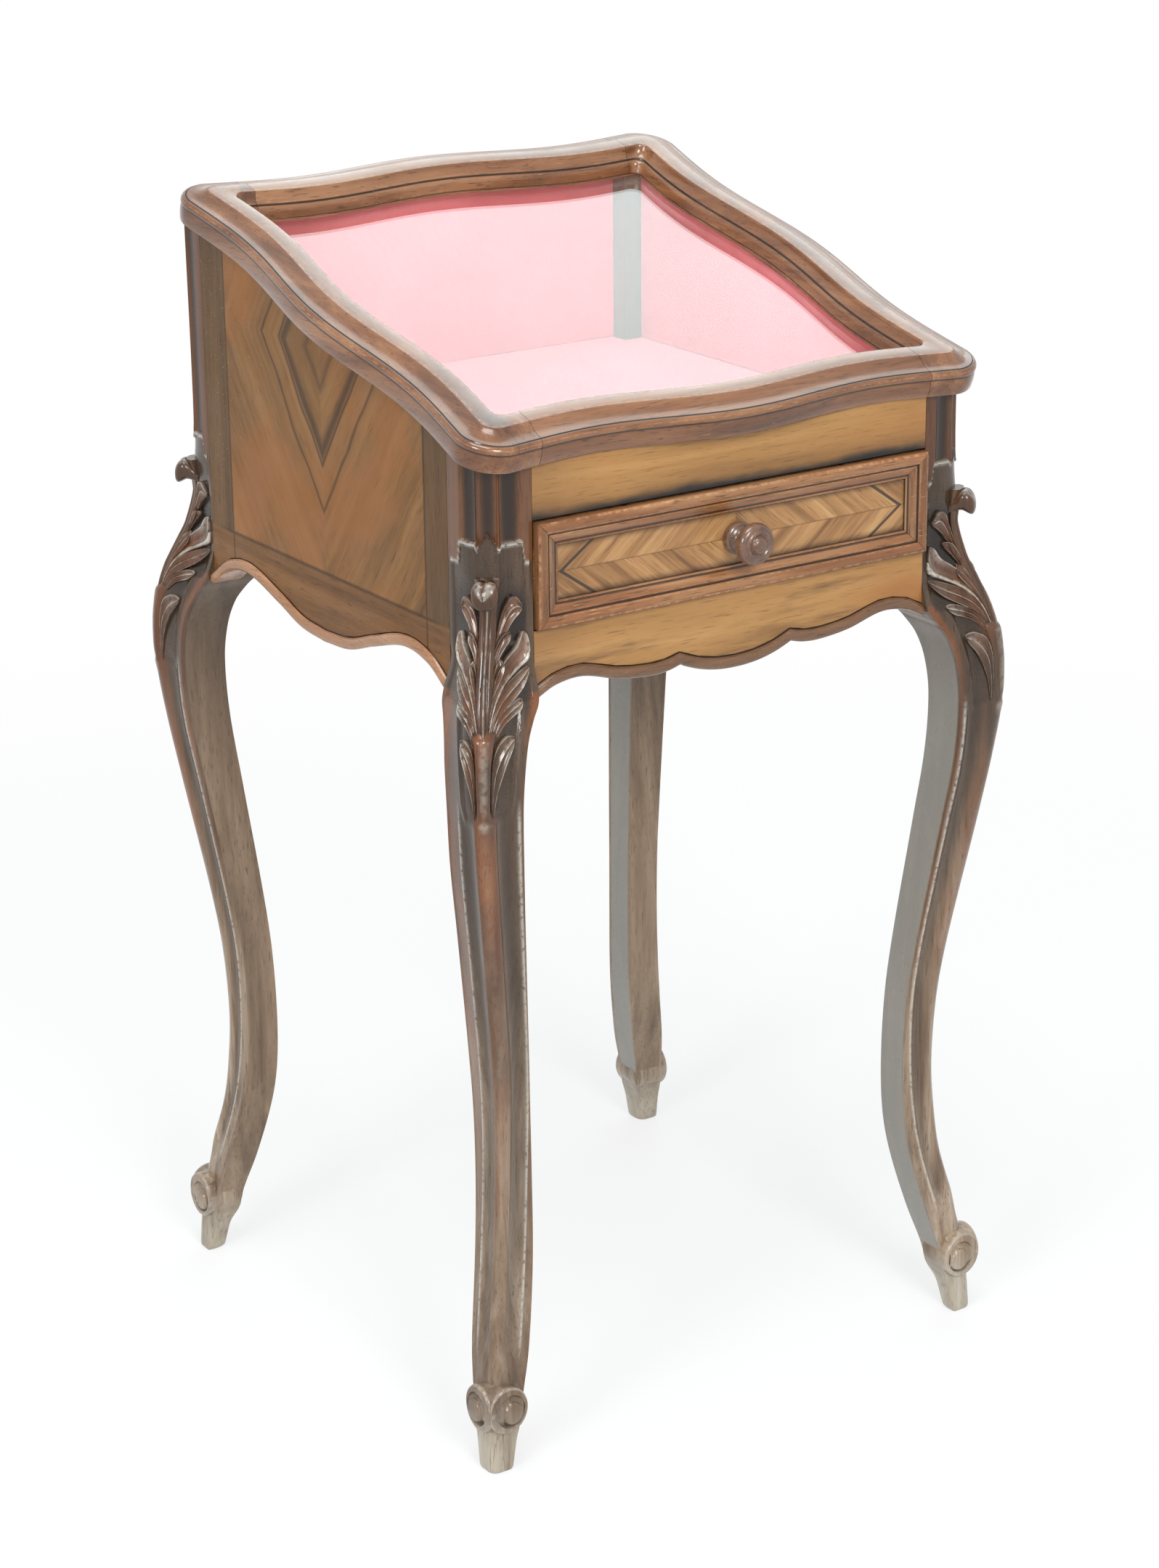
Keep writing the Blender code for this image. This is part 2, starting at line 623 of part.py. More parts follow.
def screw(head, direction, clearance=0.0):
    """A countersunk screw from its head's face, or with a clearance the hole for it."""
    head_radius, radius = SCREW_HEAD + clearance, SCREW_RADIUS + clearance
    outline = [(0, 0), (head_radius, 0)]
    if clearance:
        outline = [(0, LEAF), (head_radius, LEAF), (head_radius, -clearance)]
    outline += [(radius, -LEAF - clearance), (radius, -SCREW_LENGTH - clearance), (0, -SCREW_LENGTH - clearance)]
    place = Matrix.Translation(head) @ direction.to_track_quat("Z", "Y").to_matrix().to_4x4()
    return turned(outline, place, 8)


NORMAL = (lid_place(0, 0, 1) - lid_place(0, 0, 0)).normalized()
AXIS_POINT = lid_place(0, HINGE_S, 0)
THIRD = HINGE_LENGTH / 3


def knuckle(x_low, x_high, radius):
    offset = Vector((0, AXIS_POINT.y, AXIS_POINT.z))
    return rod(offset + Vector((x_low, 0, 0)), offset + Vector((x_high, 0, 0)), radius, ROUND_STEPS)


def leaf(name, x, low, rise, spans, carrier, bore):
    """A hinge leaf: a plate with a tab and a barrel for each span of its length."""
    clear = HINGE_S - KNUCKLE_RADIUS - 2 * GAP
    outline = [(HINGE_LENGTH / 2, low), (HINGE_LENGTH / 2, clear)]
    for start, end in reversed(spans):
        outline += [(end - GAP, clear), (end - GAP, HINGE_S - 0.4 * KNUCKLE_RADIUS),
                    (start + GAP, HINGE_S - 0.4 * KNUCKLE_RADIUS), (start + GAP, clear)]
    outline += [(-HINGE_LENGTH / 2, clear), (-HINGE_LENGTH / 2, low)]
    plate = prism([lid_place(x + across, s, rise) for across, s in outline], NORMAL * LEAF)
    made = part(name, plate, BRASS, carrier)
    for k, (start, end) in enumerate(spans):
        boolean(made, cutter(f"{name}_barrel_{k}", knuckle(x + start, x + end, KNUCKLE_RADIUS)), "UNION")
    boolean(made, bore, "DIFFERENCE")
    return made


def hinge(side_name, x):
    bore = cutter(f"hinge_bore_{side_name}", knuckle(x - HINGE_LENGTH, x + HINGE_LENGTH, PIN_RADIUS + PIN_CLEARANCE))
    clear = HINGE_S - KNUCKLE_RADIUS - 2 * GAP
    half = HINGE_LENGTH / 2
    case_low = HINGE_S - CASE_LEAF_WIDTH
    case_leaf = leaf(f"hinge_case_leaf_{side_name}", x, case_low, -LEAF_DROP - LEAF,
                     [(-half, -THIRD / 2 - GAP / 2), (THIRD / 2 + GAP / 2, half)], CASE, bore)
    lid_low = HINGE_S - LID_LEAF_WIDTH
    lid_leaf = leaf(f"hinge_lid_leaf_{side_name}", x, lid_low, LEAF_DROP - GAP,
                    [(-THIRD / 2 + GAP / 2, THIRD / 2 - GAP / 2)], LID_PIVOT, bore)

    part(f"hinge_pin_{side_name}", knuckle(x - HINGE_LENGTH / 2, x + HINGE_LENGTH / 2, PIN_RADIUS), BRASS, CASE)

    wide = HINGE_LENGTH + 4 * GAP
    deep = -LEAF_DROP - LEAF - GAP
    recess = slab(x, wide, case_low - 2 * GAP, HINGE_S, deep, LEAF)
    boolean(back_panel, cutter(f"case_recess_{side_name}", recess), "DIFFERENCE")
    gain = slab(x, wide, clear - GAP, HINGE_S + KNUCKLE_RADIUS + 2 * GAP, -KNUCKLE_RADIUS - 2 * GAP, LEAF)
    boolean(back_panel, cutter(f"knuckle_recess_{side_name}", gain), "DIFFERENCE")
    recess = slab(x, wide, lid_low - 2 * GAP, HINGE_S, -LEAF, LEAF_DROP + LEAF)
    boolean(lid_rail_back, cutter(f"lid_recess_{side_name}", recess), "DIFFERENCE")

    for hole, across in (("a", -SCREW_SPREAD), ("b", SCREW_SPREAD)):
        head = lid_place(x + across, case_low + CASE_LEAF_WIDTH / 3, -LEAF_DROP)
        part(f"case_screw_{side_name}_{hole}", screw(head, NORMAL), BRASS, CASE)
        bored = cutter(f"case_hole_{side_name}_{hole}", screw(head, NORMAL, GAP))
        boolean(case_leaf, bored, "DIFFERENCE")
        boolean(back_panel, bored, "DIFFERENCE")

        head = lid_place(x + across, lid_low + CASE_LEAF_WIDTH / 3, LEAF_DROP - GAP)
        part(f"lid_screw_{side_name}_{hole}", screw(head, -NORMAL), BRASS, LID_PIVOT)
        bored = cutter(f"lid_hole_{side_name}_{hole}", screw(head, -NORMAL, GAP))
        boolean(lid_leaf, bored, "DIFFERENCE")
        boolean(lid_rail_back, bored, "DIFFERENCE")


hinge("left", -HINGE_X)
hinge("right", HINGE_X)

# Drawer

front_half = POST_INNER - DRAWER_PLAY
front_top = OPENING_TOP - DRAWER_PLAY
front_face = -CASE_HALF
front_back = front_face + DRAWER_FRONT
drawer_front = part("drawer_front", box((-front_half, front_face, DRAWER_BASE), (front_half, front_back, front_top)),
                    GOLDEN_WOOD, DRAWER_SLIDE)

knob_height = (DRAWER_BASE + front_top) / 2
knob_place = Matrix.Translation((0, front_face, knob_height)) @ Matrix.Rotation(math.pi / 2, 4, "X")
knob_outline = list(KNOB_OUTLINE) + [(SPIGOT_RADIUS, GAP), (SPIGOT_RADIUS, -DRAWER_FRONT), (0, -DRAWER_FRONT)]
part("knob", turned(knob_outline, knob_place, KNOB_STEPS), DARK_WOOD, DRAWER_SLIDE, smooth=True)
knob_hole = rod((0, front_face - DRAWER_FRONT, knob_height), (0, front_back + DRAWER_FRONT, knob_height),
                SPIGOT_RADIUS + SPIGOT_CLEARANCE, KNOB_STEPS)
boolean(drawer_front, cutter("knob_hole", knob_hole), "DIFFERENCE")

# Moulding section: distance in from the drawer front's edge, and height over its face
moulding_section = ((0, GAP), (0, 0.7 * MOULDING_PROUD), (0.15 * MOULDING, MOULDING_PROUD),
                    (0.45 * MOULDING, MOULDING_PROUD), (0.6 * MOULDING, 0.6 * MOULDING_PROUD),
                    (0.9 * MOULDING, 0.35 * MOULDING_PROUD), (MOULDING, GAP))
mitre = GAP / 2
for strip, (run_x, run_z) in {"top": (0, 1), "bottom": (0, -1), "left": (-1, 0), "right": (1, 0)}.items():
    rings = []
    for end in (-1, 1):
        ring = []
        for inset, proud in moulding_section:
            half_x = front_half - inset
            half_z = (front_top - DRAWER_BASE) / 2 - inset
            x = run_x * half_x if run_x else end * (half_x - mitre)
            z = run_z * half_z if run_z else end * (half_z - mitre)
            ring.append((x, front_face - proud, knob_height + z))
        rings.append(ring)
    part("drawer_moulding_" + strip, loft(rings), RED_WOOD, DRAWER_SLIDE)

side_top = DRAWER_BASE + DRAWER_SIDE_HEIGHT
box_back = INNER - DRAWER_BACK_ROOM
groove_low = DRAWER_BASE + GROOVE_LIFT
groove_high = groove_low + DRAWER_BOTTOM + 2 * GAP
for side_name, side in (("left", -1), ("right", 1)):
    outer, inner_face = front_half, front_half - DRAWER_SIDE
    section = ((outer, DRAWER_BASE), (outer, side_top), (inner_face, side_top), (inner_face, groove_high),
               (inner_face + GROOVE_DEPTH, groove_high), (inner_face + GROOVE_DEPTH, groove_low),
               (inner_face, groove_low), (inner_face, DRAWER_BASE))
    shape = prism([(side * x, front_back + GAP, z) for x, z in section], (0, box_back - front_back, 0))
    part("drawer_side_" + side_name, shape, PLAIN_WOOD, DRAWER_SLIDE)

inside = front_half - DRAWER_SIDE - GAP
bottom_half = inside + GROOVE_DEPTH - GAP
part("drawer_bottom", box((-bottom_half, front_back + 2 * GAP, groove_low + GAP),
                          (bottom_half, box_back, groove_low + GAP + DRAWER_BOTTOM)), PLAIN_WOOD, DRAWER_SLIDE)
part("drawer_back", box((-inside, box_back - DRAWER_SIDE, groove_high), (inside, box_back, side_top)), PLAIN_WOOD,
     DRAWER_SLIDE)
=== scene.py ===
import math

import bpy
import numpy as np
from mathutils import Matrix, Vector


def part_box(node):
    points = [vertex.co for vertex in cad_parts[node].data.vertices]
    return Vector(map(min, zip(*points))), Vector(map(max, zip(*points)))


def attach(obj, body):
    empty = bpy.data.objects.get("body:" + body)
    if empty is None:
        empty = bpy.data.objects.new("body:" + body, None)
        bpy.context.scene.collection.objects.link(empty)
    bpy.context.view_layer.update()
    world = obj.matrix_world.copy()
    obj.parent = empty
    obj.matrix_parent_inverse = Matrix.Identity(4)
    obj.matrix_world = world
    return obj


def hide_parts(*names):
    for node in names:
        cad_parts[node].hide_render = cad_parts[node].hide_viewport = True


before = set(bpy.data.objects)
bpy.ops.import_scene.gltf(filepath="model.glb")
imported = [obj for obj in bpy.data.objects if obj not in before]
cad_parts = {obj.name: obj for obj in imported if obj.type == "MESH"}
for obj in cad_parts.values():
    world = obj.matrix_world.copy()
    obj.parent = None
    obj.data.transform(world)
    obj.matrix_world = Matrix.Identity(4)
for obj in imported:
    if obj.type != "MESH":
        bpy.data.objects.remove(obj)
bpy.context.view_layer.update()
scene = bpy.context.scene

# Sizes, in metres. The case is read from the frame, and the rest repeats the driving sizes of the solids.
MM = 0.001
GAP = 0.0003
CASE_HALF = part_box("side_panel_right")[1].x
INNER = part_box("side_panel_right")[0].x
BOARD_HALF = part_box("front_rail")[1].x
POST = CASE_HALF - BOARD_HALF - GAP
LEG_HEIGHT = 0.530
LID_SLOPE = math.radians(15.5)
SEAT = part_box("front_rail")[1].z + INNER * math.tan(LID_SLOPE) + GAP / math.cos(LID_SLOPE)

# Leg stations: share of LEG_HEIGHT, then offsets of the inner corner, the edges and the outer corner.
# The first three are a little fuller than the solid's, because the toe is rounded afterwards.
LEG_STATIONS = (
    (0.000, -0.0036, 0.0136, 0.0116),
    (0.058, -0.0100, 0.0118, 0.0099),
    (0.090, -0.0128, 0.0104, 0.0084),
    (0.148, -0.0211, 0.0058, 0.0030),
    (0.226, -0.0300, -0.0025, -0.0058),
    (0.283, -0.0338, -0.0066, -0.0092),
    (0.358, -0.0350, -0.0085, -0.0111),
    (0.453, -0.0338, -0.0072, -0.0093),
    (0.538, -0.0304, -0.0024, -0.0045),
    (0.698, -0.0220, 0.0092, 0.0076),
    (0.792, -0.0172, 0.0162, 0.0143),
    (0.868, -0.0160, 0.0184, 0.0184),
    (0.915, -0.0183, 0.0178, 0.0186),
    (0.948, -0.0228, 0.0150, 0.0172),
    (0.970, -0.0290, 0.0115, 0.0153),
    (0.985, -0.0345, 0.0085, 0.0134),
    (1.000, -0.0370, 0.0050, 0.0110),
)
CORNER_STATIONS = ((0.015, 0.0056), (0.030, 0.0004), (0.055, -0.0045), (0.090, -0.0070), (0.250, -0.0070))
CORNERS = {"front_left": (-1, -1), "front_right": (1, -1), "back_left": (-1, 1), "back_right": (1, 1)}


# Shared shapes


def mm(*points):
    """Points given in mm, as metres."""
    return [tuple(MM * value for value in point) for point in points]


def lid_place(x, s, rise):
    """A point x across, s up the lid's slope and rise above the seat."""
    sine, cosine = math.sin(LID_SLOPE), math.cos(LID_SLOPE)
    return (x, s * cosine - rise * sine, SEAT + s * sine + rise * cosine)


def seat_height(y, below=GAP):
    return SEAT + y * math.tan(LID_SLOPE) - below / math.cos(LID_SLOPE)


def along_curve(points, at):
    """Each value at a place, on a smooth curve through points given as (place, value, ...)."""
    places = [point[0] for point in points]
    at = min(max(at, places[0]), places[-1])
    i = min(sum(at >= place for place in places), len(points) - 1)
    low, high = points[i - 1], points[i]
    before, after = points[max(i - 2, 0)], points[min(i + 1, len(points) - 1)]
    span = high[0] - low[0]
    t = (at - low[0]) / span
    values = []
    for k in range(1, len(low)):
        slope_low = (high[k] - before[k]) / (high[0] - before[0]) * span
        slope_high = (after[k] - low[k]) / (after[0] - low[0]) * span
        values.append((2 * t**3 - 3 * t**2 + 1) * low[k] + (t**3 - 2 * t**2 + t) * slope_low
                      + (3 * t**2 - 2 * t**3) * high[k] + (t**3 - t**2) * slope_high)
    return values


def step_smooth(low, high, value):
    """0 below low, 1 above high, and a smooth step between."""
    t = np.clip((value - low) / (high - low), 0, 1)
    return t * t * (3 - 2 * t)


def skin(name, rings):
    """A closed mesh over rings of equal count, given as an array of rings by points by 3."""
    rings = np.asarray(rings, float)
    count, around = rings.shape[:2]
    grid = np.arange(count * around).reshape(count, around)
    here, there = grid[:-1], grid[1:]
    quads = np.stack([here, np.roll(here, -1, 1), np.roll(there, -1, 1), there], -1).reshape(-1, 4)
    faces = quads.tolist() + [grid[0][::-1].tolist(), grid[-1].tolist()]
    mesh = bpy.data.meshes.new(name)
    mesh.from_pydata(rings.reshape(-1, 3).tolist(), [], faces)
    face_out(mesh)
    return mesh


def face_out(mesh):
    """Turns a closed mesh's faces outward."""
    mesh.update()
    volume = 0.0
    mesh.calc_loop_triangles()
    for triangle in mesh.loop_triangles:
        a, b, c = (mesh.vertices[i].co for i in triangle.vertices)
        volume += a.dot(b.cross(c))
    if volume < 0:
        mesh.flip_normals()


def turned(name, outline, place, steps):
    """A mesh turned about Z from (radius, height) points, top to bottom, that start and end on the axis."""
    angles = np.linspace(0, math.tau, steps, endpoint=False)
    points = []
    for radius, height in outline[1:-1]:
        points += [(radius * math.cos(a), radius * math.sin(a), height) for a in angles]
    top = len(points)
    last = top - steps
    points += [(0, 0, outline[0][1]), (0, 0, outline[-1][1])]
    faces = []
    for i in range(steps):
        j = (i + 1) % steps
        faces += [(i, j, top), (last + j, last + i, top + 1)]
        faces += [(k + j, k + i, k + steps + i, k + steps + j) for k in range(0, last, steps)]
    mesh = bpy.data.meshes.new(name)
    mesh.from_pydata(points, [], faces)
    mesh.transform(place)
    face_out(mesh)
    return mesh


def put_in(name, data):
    """A new object in the scene."""
    made = bpy.data.objects.new(name, data)
    scene.collection.objects.link(made)
    return made


def piece(name, mesh, paint, body, nodes, sharp=40):
    """A dressed piece: shaded, painted, riding on its body and standing for its solids."""
    mesh.shade_smooth()
    mesh.set_sharp_from_angle(angle=math.radians(sharp))
    mesh.materials.clear()
    mesh.materials.append(paint)
    made = put_in(name, mesh)
    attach(made, body)
    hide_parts(*nodes)
    return made


def dress(node, paint, bevel=0.0):
    """Gives a solid of the frame its finish, and softens its edges."""
    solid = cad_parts[node]
    solid.data.materials.clear()
    solid.data.materials.append(paint)
    if bevel:
        softened = solid.modifiers.new("soft_edges", "BEVEL")
        softened.width = bevel
        softened.segments = 2
        softened.limit_method = "ANGLE"
        softened.angle_limit = math.radians(35)


# Finishes


class Paint:
    """A material or world of nodes, with short calls for the nodes that the finishes share."""

    def __init__(self, name, world=False):
        self.owner = (bpy.data.worlds if world else bpy.data.materials).new(name)
        self.owner.use_nodes = True
        self.nodes = self.owner.node_tree.nodes
        self.links = self.owner.node_tree.links
        self.shader = self.nodes["Background" if world else "Principled BSDF"]
        self.end = self.nodes["World Output" if world else "Material Output"].inputs["Surface"]

    def feed(self, socket, value):
        if isinstance(value, bpy.types.NodeSocket):
            self.links.new(value, socket)
        elif isinstance(value, tuple) and len(value) == 3 and len(socket.default_value) == 4:
            socket.default_value = (*value, 1)
        else:
            socket.default_value = value

    def set(self, **values):
        for name, value in values.items():
            self.feed(self.shader.inputs[name.replace("_", " ")], value)

    def add(self, kind, inputs=(), **settings):
        """The outputs of a new node, whose inputs are fed in order, or by name or number."""
        node = self.nodes.new("ShaderNode" + kind)
        for key, value in settings.items():
            setattr(node, key, value)
        for key, value in inputs.items() if isinstance(inputs, dict) else enumerate(inputs):
            self.feed(node.inputs[key], value)
        return node.outputs

    def place(self):
        return self.add("TexCoord")["Object"]

    def parts(self, vector):
        return self.add("SeparateXYZ", (vector,))

    def join(self, x, y, z):
        return self.add("CombineXYZ", (x, y, z))[0]

    def scaled(self, vector, scale, turn=(0, 0, 0), shift=(0, 0, 0)):
        inputs = {"Vector": vector, "Scale": scale, "Rotation": turn, "Location": shift}
        return self.add("Mapping", inputs)[0]

    def noise(self, vector, scale, detail=3.0, rough=0.55, distortion=0.0):
        inputs = {"Scale": scale, "Detail": detail, "Roughness": rough, "Distortion": distortion}
        return self.add("TexNoise", {"Vector": vector, **inputs})["Fac"]

    def cells(self, vector, scale):
        return self.add("TexVoronoi", {"Vector": vector, "Scale": scale}, feature="F1")["Distance"]

    def maths(self, operation, a, b=0.0):
        return self.add("Math", (a, b), operation=operation)[0]

    def times(self, a, b):
        return self.maths("MULTIPLY", a, b)

    def plus(self, a, b):
        return self.maths("ADD", a, b)

    def less(self, a, b):
        return self.maths("SUBTRACT", a, b)

    def size(self, a):
        return self.maths("ABSOLUTE", a)

    def span(self, value, low, high, to_low=0.0, to_high=1.0):
        """A smooth step from low to high."""
        inputs = (value, low, high, to_low, to_high)
        return self.add("MapRange", inputs, interpolation_type="SMOOTHSTEP")[0]

    def line(self, value, at, half):
        """1 where a value is at a place, falling to 0 at half a width from it."""
        return self.span(self.size(self.less(value, at)), 0.0, half, 1.0, 0.0)

    def ramp(self, value, *stops):
        made = self.nodes.new("ShaderNodeValToRGB")
        self.feed(made.inputs[0], value)
        elements = made.color_ramp.elements
        elements[0].position, elements[1].position = 0, 1
        while len(elements) < len(stops):
            elements.new(0.5)
        for element, (position, colour) in zip(elements, stops):
            element.position = position
            element.color = (*colour, 1)
        return made.outputs[0]

    def mix(self, share, a, b):
        """One colour over another; inputs 6 and 7 and output 2 are the node's colours."""
        inputs = {"Factor": share, 6: a, 7: b}
        return self.add("Mix", inputs, data_type="RGBA", blend_type="MIX", clamp_factor=True)[2]

    def bump(self, height, distance, strength=1.0, under=None):
        inputs = {"Strength": strength, "Distance": distance, "Height": height}
        if under is not None:
            inputs["Normal"] = under
        return self.add("Bump", inputs)[0]

    def value(self, name):
        return self.add("Attribute", attribute_name=name)["Fac"]

    def seen(self):
        """1 on the rays that come from the camera, from gloss or through glass."""
        path = self.add("LightPath")
        share = path["Is Camera Ray"]
        for ray in ("Is Glossy Ray", "Is Transmission Ray"):
            share = self.maths("MAXIMUM", share, path[ray])
        return share

    def swap(self, share, kind, colour):
        """Shows another kind of shader, in one colour, in the place of the first."""
        other = self.add(kind, {"Color": colour})[0]
        both = self.add("MixShader", (share, self.shader.outputs[0], other))
        self.feed(self.end, both[0])


# Values at each point that the carved and lined woods read. The relief also sets painted shade in cuts and
# quirks and painted highlights on ridges, and the last field sets pale wear and painted highlights.
FIELDS = ("relief", "stipple", "warm", "worn")
# Scales that draw a grain out along an axis
AXES = {"x": (0.06, 1, 1), "y": (1, 0.06, 1), "z": (1, 1, 0.06)}


def grain(p, vector, dark, mid, light, coarse=75.0, fine=900.0):
    """Polished wood along a stretched vector: its colour, and a height for pores."""
    streak = p.noise(vector, coarse, 5.0, 0.62, 0.35)
    broad = p.noise(vector, coarse * 0.22, 2.0, 0.5, 0.2)
    pores = p.noise(vector, fine, 2.0, 0.6)
    tone = p.plus(p.times(streak, 0.62), p.times(broad, 0.38))
    colour = p.ramp(tone, (0.3, dark), (0.5, mid), (0.7, light))
    pore = p.span(pores, 0.56, 0.7)
    colour = p.mix(p.times(pore, 0.55), colour, tuple(0.45 * c for c in dark))
    return colour, pores


def polish(p, colour, pores, rough=0.3, coat=0.15, shine=0.4):
    """Sets a polished surface, with uneven gloss and a little grain in relief."""
    cloud = p.noise(p.place(), 34.0, 4.0, 0.6)
    p.set(Base_Color=colour, Roughness=p.span(cloud, 0.3, 0.75, rough - 0.07, rough + 0.14))
    p.set(Coat_Weight=coat, Coat_Roughness=0.12, Coat_IOR=1.5, Specular_IOR_Level=shine)
    p.set(Normal=p.bump(pores, 0.00012, 0.5))
    return p.owner


def scratches(p, colour, amount, pale):
    """Fine pale scratches and rubbed spots in the polish."""
    place = p.place()
    marks = p.noise(p.scaled(place, (1, 1, 1), (0.5, 0.9, 0.4)), 5.0, 1.0)
    lines = p.noise(p.scaled(place, (14, 230, 230), (0.35, 0.2, 0.6)), 3.0, 2.0)
    share = p.times(p.span(lines, 0.66, 0.72), p.span(marks, 0.5, 0.62))
    return p.mix(p.times(share, amount), colour, pale)


def wood(name, dark, mid, light, along, rough=0.28, coat=0.15, coarse=75.0, shine=0.5, scratched=True,
         lined=False):
    """Polished wood along an axis. A lined one has painted shade in its quirks, and is rubbed pale on its
    edges.
    """
    p = Paint(name)
    colour, pores = grain(p, p.scaled(p.place(), AXES[along]), dark, mid, light, coarse)
    pale = tuple(min(1, 1.6 * c + 0.05) for c in light)
    if scratched:
        colour = scratches(p, colour, 0.35, pale)
    if lined:
        relief = p.value("relief")
        # Painted shade in the quirks
        colour = p.mix(p.span(relief, -0.25, -0.95, 0.0, 0.85), colour, (0.014, 0.008, 0.005))
        chipped = p.span(p.noise(p.place(), 260.0, 4.0), 0.4, 0.64, 0.0, 0.3)
        colour = p.mix(p.times(p.span(relief, 0.3, 0.9), chipped), colour, pale)
    return polish(p, colour, pores, rough, coat, shine)


def tinted(tones, share):
    return [tuple(share * c for c in tone) for tone in tones]


RED = ((0.12, 0.05, 0.024), (0.25, 0.125, 0.062), (0.38, 0.215, 0.118))
GOLD = ((0.215, 0.105, 0.03), (0.39, 0.205, 0.065), (0.51, 0.295, 0.115))
PLAIN = ((0.3, 0.19, 0.1), (0.42, 0.28, 0.155), (0.5, 0.35, 0.21))
LID_RED = ((0.04, 0.012, 0.005), (0.18, 0.072, 0.028), (0.345, 0.17, 0.078))
STRIP_RED = ((0.055, 0.018, 0.007), (0.245, 0.1, 0.038), (0.45, 0.26, 0.125))
BROWN = ((0.07, 0.032, 0.014), (0.15, 0.066, 0.027), (0.215, 0.098, 0.042))
DARK_RED = ((0.03, 0.014, 0.009), (0.11, 0.052, 0.03), (0.2, 0.105, 0.062))
LID_GLOSS = {"rough": 0.2, "coat": 0.6, "shine": 0.35, "lined": True}
STRIP_GLOSS = {"rough": 0.22, "coat": 0.3, "shine": 0.3, "lined": True}
LID_X = wood("lid_wood_across", *LID_RED, along="x", **LID_GLOSS)
LID_Y = wood("lid_wood_along", *LID_RED, along="y", **LID_GLOSS)
STRIP_X = wood("strip_wood_across", *STRIP_RED, along="x", **STRIP_GLOSS)
STRIP_Z = wood("strip_wood_upright", *tinted(STRIP_RED, 0.72), along="z", **STRIP_GLOSS)
BEAD_X = wood("bead_wood_across", *tinted(RED, 0.6), along="x", rough=0.22, coat=0.4, shine=0.3, lined=True)
BEAD_Y = wood("bead_wood_along", *tinted(RED, 1.35), along="y", **STRIP_GLOSS)
PLAIN_X = wood("plain_wood_across", *PLAIN, along="x", rough=0.6, coat=0.0)
PLAIN_Y = wood("plain_wood_along", *PLAIN, along="y", rough=0.6, coat=0.0)
BACK = wood("back_veneer", *BROWN, "z", 0.38, 0.3, coarse=60.0, shine=0.4, scratched=False)
DARK = wood("dark_polish", *DARK_RED, "y", 0.26, 0.7, coarse=120.0, shine=0.4, scratched=False)


def amber_and_left_shade(p, colour, place, x):
    """Golden wood that has turned amber in clouds, most towards both ends, with painted shade darkening the
    left end to brown.
    """
    cloud = p.noise(p.scaled(place, (1, 1, 2.5)), 9.0, 3.0)
    ends = p.span(p.size(x), 0.06, 0.15, 0.15, 1.0)
    colour = p.mix(p.times(p.span(cloud, 0.35, 0.65, 0.15, 0.85), ends), colour, (0.31, 0.118, 0.03))
    # Painted shade: the left end darkened towards brown
    return p.mix(p.span(x, -0.09, -0.16, 0.0, 0.4), colour, (0.15, 0.07, 0.026))


def golden_rail():
    """Golden rail over the drawer, with painted shade along its foot and a ragged near-black line there,
    partly soot and partly painted shadow.
    """
    p = Paint("golden_rail")
    place = p.place()
    colour, pores = grain(p, p.scaled(place, AXES["x"]), *GOLD, coarse=60.0)
    x, _, z = p.parts(place)
    colour = amber_and_left_shade(p, colour, place, x)
    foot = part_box("front_rail")[0].z
    ragged = p.times(p.noise(p.scaled(place, (9, 1, 30)), 2.0, 4.0), 0.012)
    rise = p.less(p.less(z, foot), ragged)
    # Painted shade rising from the foot, and at the foot itself a ragged near-black line of soot and painted
    # shadow
    soot_and_shadow_line = p.span(rise, -0.006, 0.0015, 1.0, 0.0)
    shade = p.span(rise, -0.004, 0.012, 0.45, 0.0)
    colour = p.mix(shade, colour, (0.1, 0.045, 0.016))
    colour = p.mix(soot_and_shadow_line, colour, (0.012, 0.011, 0.01))
    return polish(p, colour, pores, 0.34, 0.1)


def golden_apron():
    """Golden apron with smoky slanting streaks."""
    p = Paint("golden_apron")
    place = p.place()
    colour, pores = grain(p, p.scaled(place, (0.05, 1, 1), (0, 0.16, 0)), *GOLD, coarse=55.0)
    colour = amber_and_left_shade(p, colour, place, p.parts(place)[0])
    smoke = p.noise(p.scaled(place, (5, 5, 36), (0, 0.2, 0)), 1.6, 4.0, 0.6)
    colour = p.mix(p.span(smoke, 0.5, 0.72, 0.0, 0.75), colour, (0.115, 0.055, 0.022))
    return polish(p, colour, pores, 0.34, 0.1)


# Slopes of the chevrons, of the grain within them and of the dark stringing, and the stringing's tip
CHEVRON_SLOPE, LEAF_SLOPE, STRING_SLOPE, STRING_TIP = 1.15, 0.9, 1.42, 0.1325


